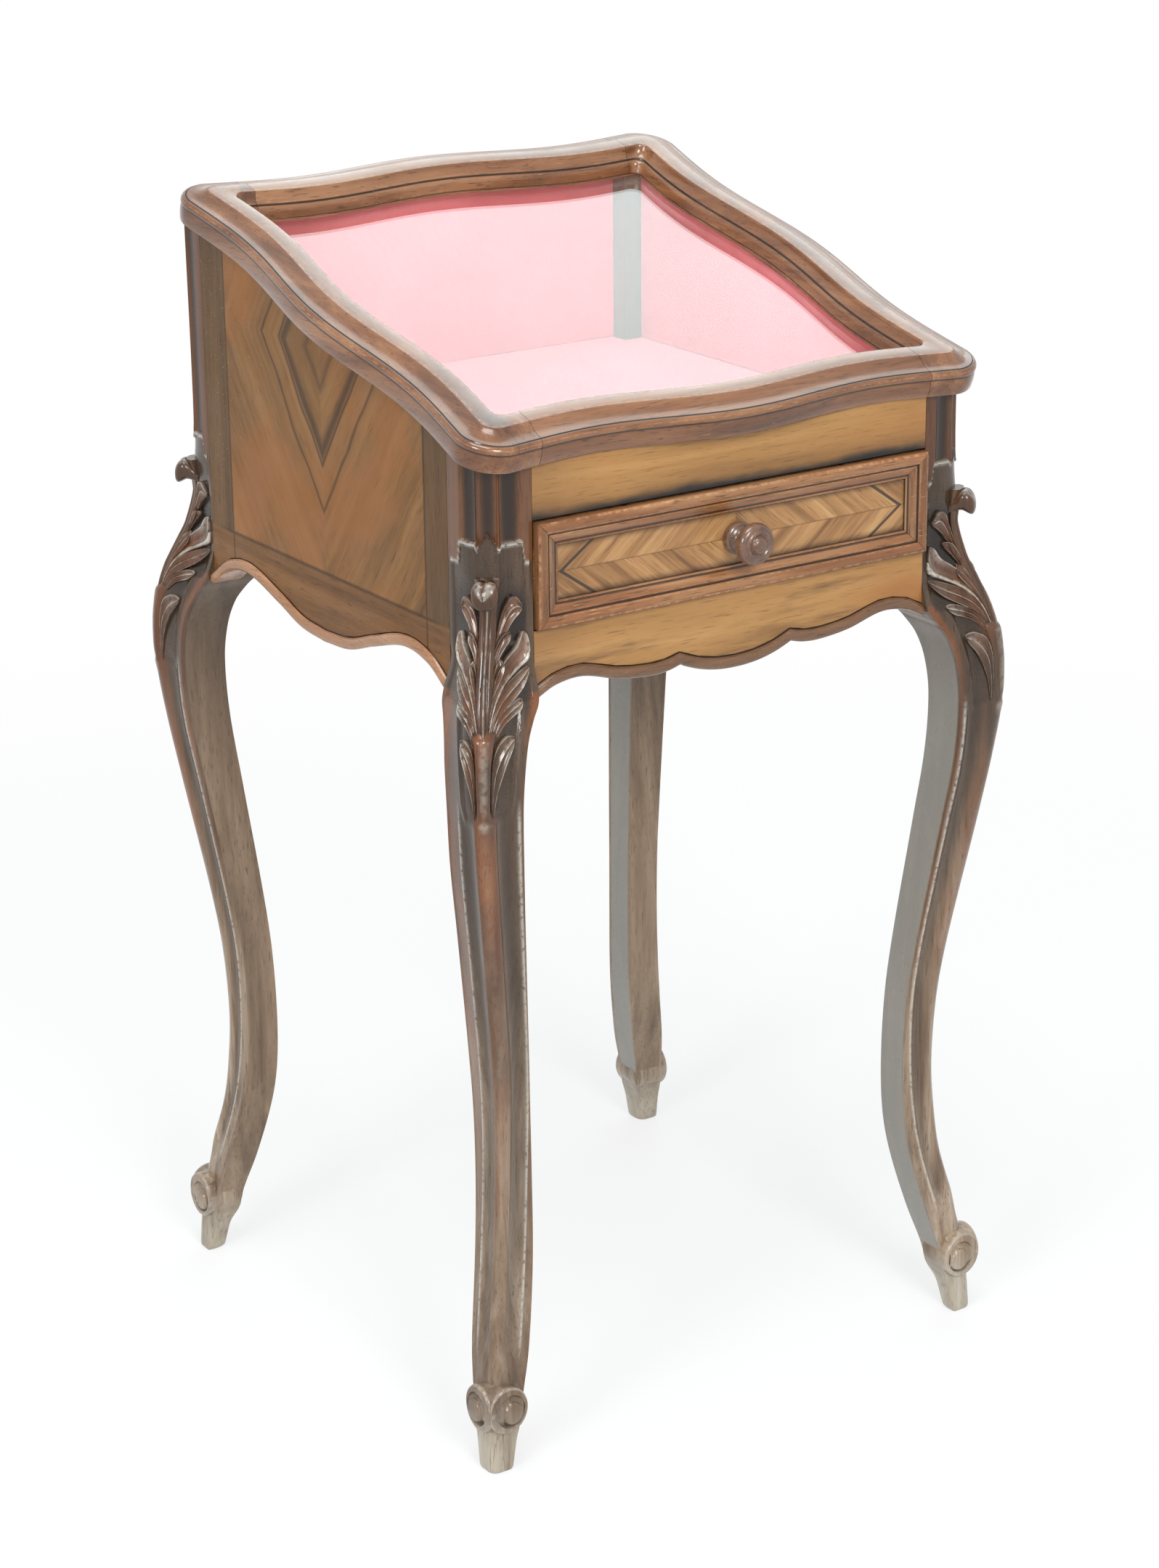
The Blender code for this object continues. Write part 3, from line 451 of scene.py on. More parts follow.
def herringbone():
    """Drawer panel: veneer in chevrons that point away from the knob, with dark stringing at the ends."""
    p = Paint("drawer_veneer")
    place = p.place()
    x, _, z = p.parts(place)
    low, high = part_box("drawer_front")
    middle = (low.z + high.z) / 2
    out = p.size(x)
    up = p.size(p.less(z, middle))
    side = p.maths("SIGN", p.less(z, middle))
    half = p.maths("SIGN", x)
    chevron = p.plus(out, p.times(up, CHEVRON_SLOPE))
    slide = p.less(up, p.times(out, LEAF_SLOPE))
    leaf = p.plus(p.times(side, 3.1), p.times(half, 1.7))
    vector = p.join(chevron, p.times(slide, 0.05), p.times(leaf, 0.05))
    tones = ((0.125, 0.054, 0.019), (0.36, 0.185, 0.07), (0.52, 0.31, 0.135))
    colour, pores = grain(p, vector, *tones, 130.0, 700.0)
    stripe = p.noise(vector, 46.0, 2.0)
    colour = p.mix(p.span(stripe, 0.5, 0.66, 0.0, 0.6), colour, (0.12, 0.05, 0.018))
    seam = p.line(up, 0.0, 0.0007)
    colour = p.mix(p.times(seam, 0.5), colour, (0.05, 0.02, 0.01))
    string = p.line(p.plus(out, p.times(up, STRING_SLOPE)), STRING_TIP, 0.0032)
    colour = p.mix(p.times(p.span(string, 0.25, 0.6), 0.92), colour, (0.03, 0.022, 0.016))
    # Painted shade along the top and bottom of the panel, against the mouldings
    rim = p.span(up, 0.0125, 0.0175, 0.0, 0.65)
    colour = p.mix(rim, colour, (0.03, 0.016, 0.01))
    return polish(p, colour, pores, 0.34, 0.1)


VENEER_MIDDLE = -0.002
VENEER_HALF = 0.124
VENEER_SLOPE = math.radians(54.5)
VENEER_FOLD = 0.712
VENEER_FOOT = 0.565
# Dark stripes of the diamond: height of the lower point, half the width, and depth of colour
VENEER_STRIPES = ((0.647, 0.0068, 0.85), (0.6385, 0.0018, 0.8), (0.608, 0.0022, 0.75), (0.69, 0.004, 0.5))
VENEER_TONES = ((0.1, 0.05, 0.018), (0.205, 0.1, 0.034), (0.29, 0.15, 0.056))
BAND_TONES = ((0.06, 0.034, 0.015), (0.115, 0.062, 0.026), (0.16, 0.09, 0.04))
LEVEL_TONES = ((0.09, 0.04, 0.016), (0.18, 0.084, 0.03), (0.25, 0.125, 0.048))


def veneer(name):
    """Side panel: quarter-matched figure in a diamond, between upright bands and over a level band."""
    p = Paint(name)
    place = p.place()
    _, y, z = p.parts(place)
    out = p.size(p.less(y, VENEER_MIDDLE))
    side = p.maths("SIGN", p.less(y, VENEER_MIDDLE))
    folded = p.less(VENEER_FOLD, p.size(p.less(z, VENEER_FOLD)))
    sine, cosine = math.sin(VENEER_SLOPE), math.cos(VENEER_SLOPE)
    across = p.less(p.times(folded, cosine), p.times(out, sine))
    along = p.plus(p.times(folded, sine), p.times(out, cosine))
    wander = p.times(p.noise(place, 14.0, 2.0), 0.01)
    across = p.plus(across, wander)
    vector = p.join(across, p.times(along, 0.05), p.times(side, 0.07))
    field, pores = grain(p, vector, *VENEER_TONES, 95.0, 800.0)
    cloud = p.noise(place, 11.0, 3.0)
    field = p.mix(p.span(cloud, 0.4, 0.62, 0.0, 0.6), field, (0.285, 0.112, 0.034))
    for apex, half, depth in VENEER_STRIPES:
        stripe = p.line(across, apex * cosine + 0.005, half)
        field = p.mix(p.times(stripe, depth), field, (0.045, 0.024, 0.012))
    band, _ = grain(p, p.scaled(place, AXES["z"]), *BAND_TONES)
    level, _ = grain(p, p.scaled(place, AXES["y"]), *LEVEL_TONES)
    colour = p.mix(p.span(out, VENEER_HALF - 0.0006, VENEER_HALF + 0.0006), field, band)
    colour = p.mix(p.span(z, VENEER_FOOT - 0.0012, VENEER_FOOT + 0.0012, 1.0, 0.0), colour, level)
    edge = p.line(out, VENEER_HALF, 0.0016)
    rule = p.line(z, VENEER_FOOT, 0.0022)
    joint = p.maths("MAXIMUM", edge, p.times(rule, p.span(out, 0.15, VENEER_HALF)))
    colour = p.mix(p.times(joint, 0.7), colour, (0.026, 0.016, 0.01))
    colour = scratches(p, colour, 0.5, (0.42, 0.3, 0.2))
    return polish(p, colour, pores, 0.38, 0.05, 0.12)


# Woods of a leg: its polish, the rubbed ribs and petals, the painted pale sheen towards the feet, the inner
# faces and the bare toe
POLISHED = ((0.016, 0.009, 0.005), (0.056, 0.033, 0.019), (0.115, 0.07, 0.041))
RUDDY = ((0.042, 0.013, 0.005), (0.18, 0.06, 0.019), (0.3, 0.118, 0.04))
PALE_SHEEN = ((0.088, 0.05, 0.028), (0.278, 0.198, 0.132), (0.46, 0.385, 0.295))
INSIDE = ((0.07, 0.04, 0.022), (0.228, 0.152, 0.094), (0.36, 0.27, 0.19))
BARE = ((0.19, 0.14, 0.095), (0.39, 0.34, 0.265), (0.54, 0.49, 0.41))


def carved_wood():
    """Legs: dark polish with painted shade near black in the cuts and painted highlights on the ridges,
    partly dirt and wear, red on ribs and petals, a painted pale sheen to the feet and painted light on one
    inner face.
    """
    p = Paint("carved_wood")
    place = p.place()
    x, y, z = p.parts(place)
    relief, stipple, warm, worn = (p.value(name) for name in FIELDS)
    colour, pores = grain(p, p.scaled(place, AXES["z"]), *POLISHED, 70.0)
    ruddy, _ = grain(p, p.scaled(place, AXES["z"], shift=(3, 1, 2)), *RUDDY, 60.0)
    patch = p.noise(p.scaled(place, (1, 1, 0.3)), 26.0, 3.0)
    redness = p.times(warm, p.span(z, 0.06, 0.34, 0.25, 1.0))
    colour = p.mix(p.times(redness, p.span(patch, 0.28, 0.52)), colour, ruddy)
    # Painted sheen: a pale, streaky reflection painted on the lower legs, weaker on the front left leg
    pale_sheen, _ = grain(p, p.scaled(place, (1, 1, 0.04), shift=(2, 3, 1)), *PALE_SHEEN, 150.0)
    streak = p.span(p.noise(p.scaled(place, (1, 1, 0.1), shift=(5, 2, 0)), 60.0, 3.0), 0.3, 0.56, 0.4, 1.0)
    near = p.span(p.plus(x, y), -0.4, -0.1, 0.55, 1.0)
    sheen_share = p.times(p.times(p.span(z, 0.5, 0.14, 0.0, 1.0), streak), near)
    colour = p.mix(sheen_share, colour, pale_sheen)
    inside, _ = grain(p, p.scaled(place, AXES["z"], shift=(4, 1, 3)), *INSIDE, 90.0)
    plain = p.times(p.span(warm, -0.1, -0.4), p.span(z, 0.52, 0.3, 0.25, 0.8))
    colour = p.mix(plain, colour, inside)
    # Painted light: the inner face that looks along X is painted paler and greyer
    lit_inner_face = p.times(p.span(warm, -0.6, -0.9), p.span(z, 0.54, 0.42, 0.2, 0.75))
    colour = p.mix(lit_inner_face, colour, (0.235, 0.238, 0.22))
    # Painted shade, partly dirt: near black in the cuts, weaker on the plain leg between the leaf and the
    # toe
    cut_by_height = p.maths("MAXIMUM", p.span(z, 0.445, 0.5, 0.4, 1.0), p.span(z, 0.09, 0.07))
    shade_and_dirt_in_cuts = p.times(p.span(relief, -0.05, -0.8, 0.0, 0.88), cut_by_height)
    colour = p.mix(shade_and_dirt_in_cuts, colour, (0.01, 0.006, 0.004))
    # Painted highlights, partly wear: pale on the high ridges, broken by chips
    chipped = p.span(p.noise(place, 190.0, 3.0), 0.36, 0.58, 0.35, 1.0)
    rubbed_and_highlit = p.times(p.span(relief, 0.5, 1.0), chipped)
    colour = p.mix(p.times(rubbed_and_highlit, 0.8), colour, (0.42, 0.37, 0.31))
    bare, _ = grain(p, p.scaled(place, AXES["z"], shift=(1, 4, 0)), *BARE, 110.0)
    # Pale flakes where the points are marked for wear and painted highlight
    flaked_and_highlit = p.times(worn, p.span(p.noise(place, 320.0, 4.0), 0.28, 0.52))
    colour = p.mix(p.times(flaked_and_highlit, 0.8), colour, (0.54, 0.51, 0.45))
    toe = p.plus(z, p.times(p.noise(place, 60.0, 3.0), -0.03))
    colour = p.mix(p.span(toe, 0.0, 0.04, 0.95, 0.0), colour, bare)
    cloud = p.noise(place, 40.0, 3.0)
    matt = p.span(toe, 0.0, 0.05, 0.25, 0.0)
    p.set(Base_Color=colour, Roughness=p.plus(p.span(cloud, 0.3, 0.7, 0.22, 0.36), matt))
    p.set(Coat_Weight=0.65, Coat_Roughness=0.1, Coat_IOR=1.5, Specular_IOR_Level=0.14)
    dots = p.span(p.cells(place, 1000.0), 0.1, 0.5)
    pits = p.times(dots, stipple)
    p.set(Normal=p.bump(pits, 0.0004, 0.8, p.bump(pores, 0.00012, 0.5)))
    return p.owner


def cloth():
    """Matt woven cloth."""
    p = Paint("red_cloth")
    place = p.place()
    x, y, z = p.parts(place)
    height = p.plus(y, z)
    thread = 2 * math.pi / 0.0011
    warp = p.maths("SINE", p.times(p.plus(x, p.times(y, 0.001)), thread))
    weft = p.maths("SINE", p.times(height, thread))
    weave = p.times(warp, weft)
    slub = p.noise(p.scaled(place, (900, 60, 60)), 1.0, 2.0)
    cloud = p.noise(place, 16.0, 3.0)
    colour = p.ramp(cloud, (0.3, (0.54, 0.06, 0.088)), (0.7, (0.66, 0.105, 0.138)))
    colour = p.mix(p.span(weave, -0.2, 1.0, 0.0, 0.35), colour, (0.74, 0.19, 0.22))
    colour = p.mix(p.span(slub, 0.5, 0.7, 0.0, 0.25), colour, (0.43, 0.034, 0.054))
    p.set(Base_Color=colour, Roughness=0.92, Sheen_Weight=0.25, Sheen_Roughness=0.5)
    p.set(Normal=p.bump(weave, 0.0002, 0.6))
    return p.owner


def glass():
    """Old clear glass, a little wavy and dusty."""
    p = Paint("clear_glass")
    place = p.place()
    dust = p.noise(place, 70.0, 4.0)
    p.set(Base_Color=(0.93, 0.985, 0.975), Transmission_Weight=0.99, IOR=1.5)
    p.set(Roughness=p.span(dust, 0.5, 0.8, 0.0, 0.05))
    p.set(Normal=p.bump(p.noise(place, 9.0, 1.0), 0.0004, 0.2))
    p.swap(p.add("LightPath")["Is Shadow Ray"], "BsdfTransparent", (0.88, 0.93, 0.92))
    return p.owner


def brass():
    p = Paint("aged_brass")
    tarnish = p.noise(p.place(), 220.0, 4.0)
    colour = p.ramp(tarnish, (0.35, (0.23, 0.14, 0.05)), (0.65, (0.6, 0.42, 0.17)))
    p.set(Base_Color=colour, Metallic=1.0, Roughness=p.span(tarnish, 0.3, 0.7, 0.5, 0.25))
    return p.owner


CARVED = carved_wood()
CLOTH = cloth()
GLASS = glass()
BRASS = brass()


# Legs

# Heights of the leg and its post, with the three offsets at each
LEVELS = [(share * LEG_HEIGHT, *offsets) for share, *offsets in LEG_STATIONS]
LEVELS += [(LEG_HEIGHT + rise, -POST, 0.0, corner) for rise, corner in CORNER_STATIONS]
HALF_COLUMNS, INNER_COLUMNS = 54, 8
# Steps between the rings of a leg: plain, over the leaf, and where the flutes end
PLAIN_STEP, LEAF_STEP, FLUTE_STEP = 0.004, 0.0015, 0.0006
LEAF_FROM, FLUTE_FROM, FLUTE_TO = 0.446, 0.604, 0.634
TOE_TOP, TOE_ROUND, TOE_EVEN = 0.036, 0.0030, 0.50
RELIEF_SCALE, LAST_RING_DROP = 0.003, 0.003

# Carving of the corner. The middle line leans to the front of a front leg, and to the side of a back one.
CARVING_SHIFT, CARVING_SHIFT_LOW = 0.0020, 0.0042
CORNER_PROFILE = mm((510, 0), (540, -1.2), (556, -2), (582, -2.2), (604, 1.8), (640, 1.2))
FLUTE_AT, FLUTE_HALF, FLUTE_DEPTH = 0.0123, 0.0058, 0.0034
# Height where the flutes end: at the middle, beside it, at the shoulder and at the edge
FLUTE_POINT, FLUTE_DIP, FLUTE_SHOULDER, FLUTE_EDGE = 0.6300, 0.6205, 0.6235, 0.6105
POINT_HALF, SHOULDER_AT, EDGE_AT, LIP_TOP = 0.0062, (0.0066, 0.0082), (0.0188, 0.0206), 0.66
GROUND_DEPTH, RIB_RISE, PETAL_ROOT, PETAL_SCOOP = 0.0011, 0.0022, -0.0060, 0.66
# Short runs of height over which a part of the carving starts or ends
GROUND_START, RIB_START, RIB_END, STRIP_END = (0.456, 0.461), (0.448, 0.470), (0.509, 0.516), (0.516, 0.526)
WARM_END, LOWER_END, FOOT_END, GROUND_SIDE_END = (0.512, 0.524), (0.450, 0.470), (0.070, 0.096), 0.525
SIDE_LINE = mm((434, 12), (521, 18.7))
RIB = mm((437, 4.6), (466, 4), (493, 4.8), (508, 6.3), (514, 7.8))
# Petals of the leaf, in mm, on one side: distance from the middle line and height.
# Each has its upper and lower edge from root to tip, its gouged channels, its height, and how worn it is.
PETALS = (
    (((3.0, 530), (5.2, 556), (7.6, 575), (10.6, 587), (14.6, 590.8), (18.8, 586)),
     ((4.4, 530), (6.6, 550), (9.2, 563), (12.2, 572.5), (15.0, 577.5), (18.6, 579.5)), 2, 3.2, 0.3),
    (((4.8, 546), (6.0, 560), (8.6, 567.5), (12.8, 570.5)),
     ((6.2, 546), (8.2, 555), (10.6, 561.5), (13.2, 565.5)), 1, 3.6, 0.2),
    (((4.2, 533), (5.0, 543), (6.0, 549), (7.6, 554)),
     ((5.2, 532), (8.2, 540), (9.8, 547), (9.6, 553.5)), 1, 2.9, 0.2),
    (((3.2, 518), (5.4, 536), (7.6, 547), (11.6, 554.5), (15.6, 560), (17.2, 568)),
     ((3.8, 516), (6.6, 531), (10.8, 542), (17.0, 548), (21.0, 554), (21.6, 567)), 1, 4.0, 0.6),
    (((3.4, 515), (5.8, 529.5), (9.4, 541), (14.6, 547.6), (18.4, 551.6), (20.6, 558)),
     ((3.9, 513), (7.0, 527.5), (11.2, 538.4), (16.6, 545.2), (21.0, 549.6), (22.2, 557)), 0, 4.2, 1.0),
    (((3.8, 513.5), (7.2, 530), (11.2, 538.5), (15.4, 543), (20.8, 547.2)),
     ((5.4, 512.5), (9.0, 521.5), (12.6, 527), (17.6, 533.6), (21.8, 541.5)), 2, 3.4, 0.4),
    (((5.6, 511.5), (9.0, 522), (13.5, 527.3), (18.6, 530.2)),
     ((7.6, 510.5), (11.0, 516.8), (15.2, 520.8), (19.2, 522.8)), 2, 3.2, 0.8),
    (((4.4, 464), (5.0, 491), (6.8, 503.5), (10.5, 508.8), (14.8, 510.4)),
     ((5.4, 459), (7.2, 474), (9.4, 485), (12.2, 496), (15.4, 502)), 2, 3.0, 0.5),
)
WEB = mm((508, 1.6), (525, 4.2), (545, 6.8), (565, 6.4), (583, 6), (604, 6.8))
WEB_HEIGHT = mm((508, 1.2), (530, 2.1), (560, 2.4), (580, 2.4), (594, 3.6), (604, 6.2))


def outer_line(inner, edge, corner, count):
    """The leg's outer skin in plan, from edge to edge round the corner, in even steps on each half."""
    reach = corner - inner
    lean = 0.5 * max(0.0, corner - edge)
    pull = 0.18 * reach
    handles = (edge + lean, inner + 0.55 * reach), (corner + pull, corner - pull)
    bend = np.array([(edge, inner), *handles, (corner, corner)])
    t = np.linspace(0, 1, 61)[:, None]
    line = (1 - t) ** 3 * bend[0] + 3 * t * (1 - t) ** 2 * bend[1]
    line = line + 3 * t**2 * (1 - t) * bend[2] + t**3 * bend[3]
    run = np.concatenate([[0], np.cumsum(np.linalg.norm(np.diff(line, axis=0), axis=1))])
    even = np.linspace(0, run[-1], count + 1)
    half = np.stack([np.interp(even, run, line[:, k]) for k in (0, 1)], -1)
    return np.concatenate([half, half[-2::-1][:, ::-1]])


def level_at(points, z):
    return np.interp(z, [point[0] for point in points], [point[1] for point in points])


def middle_line(z):
    """How far the carving's middle line lies from the corner."""
    low = CARVING_SHIFT + (CARVING_SHIFT_LOW - CARVING_SHIFT) * (1 - step_smooth(0.500, 0.560, z))
    return low * step_smooth(0.100, 0.300, z)


def corner_profile(y, z, edge):
    return level_at(CORNER_PROFILE, z) * np.clip(1 - (y / edge) ** 2, 0, 1)


def dome(share):
    """A round top: 1 in the middle, and 0 from the edge on."""
    return np.sqrt(np.clip(1 - share**2, 0, 1))


def crest(share):
    """A soft ridge: 1 in the middle, falling away to both sides."""
    return np.exp(-share**2)


def carve(w, z, edge):
    """Height of the carving over the leg's plain skin, and where it is stippled, warm, or pale with wear and
    painted highlights.
    """
    y = np.abs(w - middle_line(z))
    room = edge - np.abs(w)
    q = y / edge

    # Flutes of the post, ending in a pointed edge
    end = FLUTE_DIP + (FLUTE_POINT - FLUTE_DIP) * np.clip(1 - y / POINT_HALF, 0, 1) ** 1.2
    end = end + (FLUTE_SHOULDER - FLUTE_DIP) * step_smooth(*SHOULDER_AT, y)
    end = end + (FLUTE_EDGE - FLUTE_SHOULDER) * step_smooth(*EDGE_AT, y)
    above = step_smooth(0, 0.0020, z - end)
    flute = np.maximum(dome(y / FLUTE_HALF), dome((y - FLUTE_AT) / FLUTE_HALF))
    run_out = step_smooth(-0.0005, 0.0022, z - end)
    lip = crest((z - end + 0.0002) / 0.0014) * step_smooth(0.0040, 0.0064, y)
    lip = lip * (room > 0.002) * (z < LIP_TOP)
    height = -FLUTE_DEPTH * flute * run_out * above + 0.0006 * lip
    # The lips at the flutes' ends are pale from wear and painted highlight
    worn = lip * step_smooth(0.004, 0.008, y) * 0.9

    # Stippled ground round the leaf, and the rib under it
    side_line = level_at(SIDE_LINE, z)
    ground = (1 - step_smooth(-0.0012, 0.0, z - end)) * step_smooth(*GROUND_START, z)
    ground = ground * np.where(z > GROUND_SIDE_END, 1.0, 1 - step_smooth(side_line - 0.0016, side_line, y))
    ground = ground * step_smooth(0.0020, 0.0038, room)
    rib_top = dome(y / level_at(RIB, z)) * (1 - step_smooth(*RIB_END, z)) * step_smooth(*RIB_START, z)
    height += (RIB_RISE + GROUND_DEPTH) * rib_top - GROUND_DEPTH * ground

    # Rib, hollows, beads and strips down the leg
    low = 1 - step_smooth(*LOWER_END, z)
    lower = low * step_smooth(*FOOT_END, z)
    hollow = np.clip(1 - ((q - 0.47) / 0.21) ** 2, 0, 1)
    bead = crest((q - 0.73) / 0.035)
    height += lower * (0.0018 * dome(q / 0.26) - 0.0020 * hollow)
    height += lower * (0.0008 * bead - 0.0003 * step_smooth(0.77, 0.80, q))
    # A painted highlight runs pale along the bead
    worn = worn + 0.80 * bead * lower
    height += 0.0009 * crest((y - side_line) / 0.0009) * (1 - low) * (1 - step_smooth(*STRIP_END, z))

    warm = np.exp(-((q / 0.30) ** 4)) * (1 - step_smooth(*WARM_END, z))
    warm = warm + 0.8 * step_smooth(0.70, 0.80, q) * (z < LEG_HEIGHT) + 0.5 * above
    stipple = ground * (1 - np.clip(4 * rib_top, 0, 1))
    height = (height + corner_profile(y, z, edge)) * step_smooth(0.0, 0.0016, room)
    return height, stipple, np.clip(warm, 0, 1), np.clip(worn, 0, 1)


def on_skin(w, z, lift):
    """The plan place of a point on the leg's outer skin, raised along the skin's normal."""
    line = outer_line(*along_curve(LEVELS, z), 30)[::-1]
    across = (line[:, 0] - line[:, 1]) / math.sqrt(2)
    slope = np.gradient(line, axis=0)
    u, v, du, dv = (np.interp(w, across, values) for values in (*line.T, *slope.T))
    length = math.hypot(du, dv)
    lift = lift + float(corner_profile(abs(w), z, across[-1]))
    return u - dv / length * lift, v + du / length * lift, z


def mark(mesh, **fields):
    """Stores a value for each point under the names that the carved wood reads."""
    for name in FIELDS:
        values = np.broadcast_to(np.asarray(fields.get(name, 0.0), np.float32), len(mesh.vertices)).ravel()
        mesh.attributes.new(name, "FLOAT", "POINT").data.foreach_set("value", np.ascontiguousarray(values))


def leaf_point(away, z, lift):
    """A point of the leaf, away from the carving's middle line and raised from the leg's skin."""
    return on_skin(-(float(middle_line(z)) + away), z, lift)


PETAL_STOPS = (*np.linspace(0, 0.78, 15), *(0.78 + 0.218 * np.sin(np.linspace(0.12, 1, 9) * math.pi / 2)))


def petal_rings(upper, lower, channels, rise, side):
    """Rings of one petal: gouged channels between sharp ridges, lifting to a rounded tip."""
    edges = [[(t, *p) for t, p in zip(np.linspace(0, 1, len(edge)), edge)] for edge in (upper, lower)]
    rings, ridges, tips = [], [], []
    for s in PETAL_STOPS:
        top, low = (np.array(along_curve(edge, s)) for edge in edges)
        close = math.sqrt(max(0.02, 1 - max(0.0, (s - 0.76) / 0.24) ** 2))
        lift = rise * (0.30 + 0.70 * float(step_smooth(0.0, 0.8, s))) * (0.45 + 0.55 * close)
        middle, half = (top + low) / 2, (top - low) / 2 * close
        ring, ridge_row = [], []
        for c in np.linspace(-1, 1, 17):
            ridge = 1 - abs(math.sin(channels * math.pi * (c + 1) / 2)) if channels else 1 - 0.6 * c * c
            deep = PETAL_SCOOP if channels else 0.9
            away, z = (middle + c * half) * MM
            height = lift * (1 - deep * (1 - ridge)) * MM
            ring.append(leaf_point(side * away, z, height - GROUND_DEPTH))
            ridge_row.append(ridge)
        for c in (1.0, 0.4, -0.4, -1.0):
            away, z = (middle + c * half) * MM
            ring.append(leaf_point(side * away, z, PETAL_ROOT))
            ridge_row.append(0.0)
        rings.append(ring)
        ridges.append(ridge_row)
        tips.append([float(step_smooth(0.45, 0.9, s))] * len(ring))
    return np.array(rings), np.array(ridges), np.array(tips)


def web_rings():
    """Rings of the leaf's middle, from the rib to the neck under the ear, with a fine ridge along it."""
    rings, ridges = [], []
    for z in np.linspace(WEB[0][0], WEB[-1][0], 44):
        half, rise = level_at(WEB, z), level_at(WEB_HEIGHT, z)
        ring, ridge_row = [], []
        for c in np.linspace(-1, 1, 31):
            ridge = 0.0008 * math.exp(-(c * half / 0.0008) ** 2)
            groove = 0.0007 * math.exp(-((abs(c) * half - 0.0019) / 0.0007) ** 2)
            height = rise * math.sqrt(1 - 0.8 * c * c) + ridge - groove
            ring.append(leaf_point(c * half, z, height - GROUND_DEPTH))
            # A painted highlight along the fine ridge, and painted shade in the grooves beside it
            ridge_row.append(0.3 + 700 * ridge - 1200 * groove)
        for c in (0.9, 0.0, -0.9):
            ring.append(leaf_point(c * half, z, PETAL_ROOT))
            ridge_row.append(0.0)
        rings.append(ring)
        ridges.append(ridge_row)
    return np.array(rings), np.array(ridges)


def worn_toe(plan, heights):
    """Rounds the foot of the leg, and softens the edge that it stands on."""
    middle = plan.mean(1, keepdims=True)
    arm = plan - middle
    reach = np.linalg.norm(arm, axis=2, keepdims=True)
    usual = reach.mean(1, keepdims=True)
    rounder = usual * (1 + TOE_EVEN * np.tanh((reach / usual - 1) / TOE_EVEN))
    share = (1 - step_smooth(0.5 * TOE_TOP, TOE_TOP, heights))[:, None, None]
    drop = np.clip(1 - heights / TOE_ROUND, 0, 1)[:, None, None]
    edge = TOE_ROUND * 0.6 * (1 - np.sqrt(1 - drop**2))
    return middle + arm / reach * (reach + share * (rounder - reach) - edge)


def leg_skin(top, sign_y):
    """Local rings of a leg up to a height, carved on its outer side, and the fields of its finish."""
    heights = np.concatenate([
        TOE_ROUND * np.array([0, 0.08, 0.25, 0.5]),
        np.arange(TOE_ROUND, LEAF_FROM, PLAIN_STEP),
        np.arange(LEAF_FROM, FLUTE_FROM, LEAF_STEP),
        np.arange(FLUTE_FROM, FLUTE_TO, FLUTE_STEP),
        np.linspace(FLUTE_TO, top, 10),
    ])
    outer, back, edges = [], [], []
    for height in heights:
        inner, edge, corner = along_curve(LEVELS, height)
        outer.append(outer_line(inner, edge, corner, HALF_COLUMNS))
        edges.append((edge - inner) / math.sqrt(2))
        stops = np.linspace(edge, inner, INNER_COLUMNS + 1)[1:]
        back.append([(inner, s) for s in stops] + [(s, inner) for s in stops[-2::-1]])
    plan = np.array(outer)
    tangent = np.gradient(plan, axis=1)
    tangent /= np.linalg.norm(tangent, axis=2)[..., None]
    normal = np.stack([tangent[..., 1], -tangent[..., 0]], -1)
    w = (plan[..., 1] - plan[..., 0]) / math.sqrt(2)
    z, edge_w = (np.repeat(np.array(values)[:, None], plan.shape[1], 1) for values in (heights, edges))
    height, stipple, warm, worn = carve(w, z, edge_w)
    plan = np.concatenate([plan + normal * height[..., None], np.array(back)], 1)
    plan = worn_toe(plan, heights)
    rings = np.concatenate([plan, np.repeat(heights[:, None], plan.shape[1], 1)[..., None]], -1)
    hidden = ((0, 0), (0, plan.shape[1] - height.shape[1]))
    # Of the two inner faces, the one that looks along X is painted paler and greyer, as painted light from
    # that side
    faces = [-1.0, -0.5] if sign_y < 0 else [-0.5, -1.0]
    inner_warm = np.repeat(faces, [INNER_COLUMNS, INNER_COLUMNS - 1])
    warm = np.concatenate([warm, np.repeat(inner_warm[None], len(warm), 0)], 1)
    fields = {"relief": np.pad(height / RELIEF_SCALE, hidden), "stipple": np.pad(stipple, hidden),
              "warm": warm, "worn": np.pad(worn, hidden)}
    return rings, fields


def stand(local, sign_x, sign_y):
    """Local rings set at a corner of the case; a back leg is the front one with its two sides exchanged."""
    u, v = (local[..., 0], local[..., 1]) if sign_y < 0 else (local[..., 1], local[..., 0])
    return np.stack([sign_x * (CASE_HALF + u), sign_y * (CASE_HALF + v), local[..., 2]], -1)


def leg_mesh(name, sign_x, sign_y):
    """The leg from toe to post as one skin, cut off under the sloping lid."""
    lowest_y = sign_y * CASE_HALF - (POST if sign_y > 0 else 0)
    local, fields = leg_skin(seat_height(lowest_y) - LAST_RING_DROP, sign_y)
    rings = stand(local, sign_x, sign_y)
    top = rings[-1].copy()
    top[:, 2] = [seat_height(y) for y in top[:, 1]]
    mesh = skin(name, np.concatenate([rings, top[None]]))
    mark(mesh, **{name: np.concatenate([field, field[-1:]]).ravel() for name, field in fields.items()})
    return mesh


# The leaf's curled tip, from the post outward along the diagonal: place from the case's corner, top and
# underside above LEG_HEIGHT, and half its width
EAR = mm(
    (-14, 62, 54.5, 6), (-8, 68.6, 57.8, 7), (-3, 73.4, 59, 8.4), (1, 73, 57.2, 8.4), (3.6, 70.4, 56.4, 7),
    (5.2, 66.8, 58, 4.4), (5.8, 63.6, 60.6, 1.4),
)


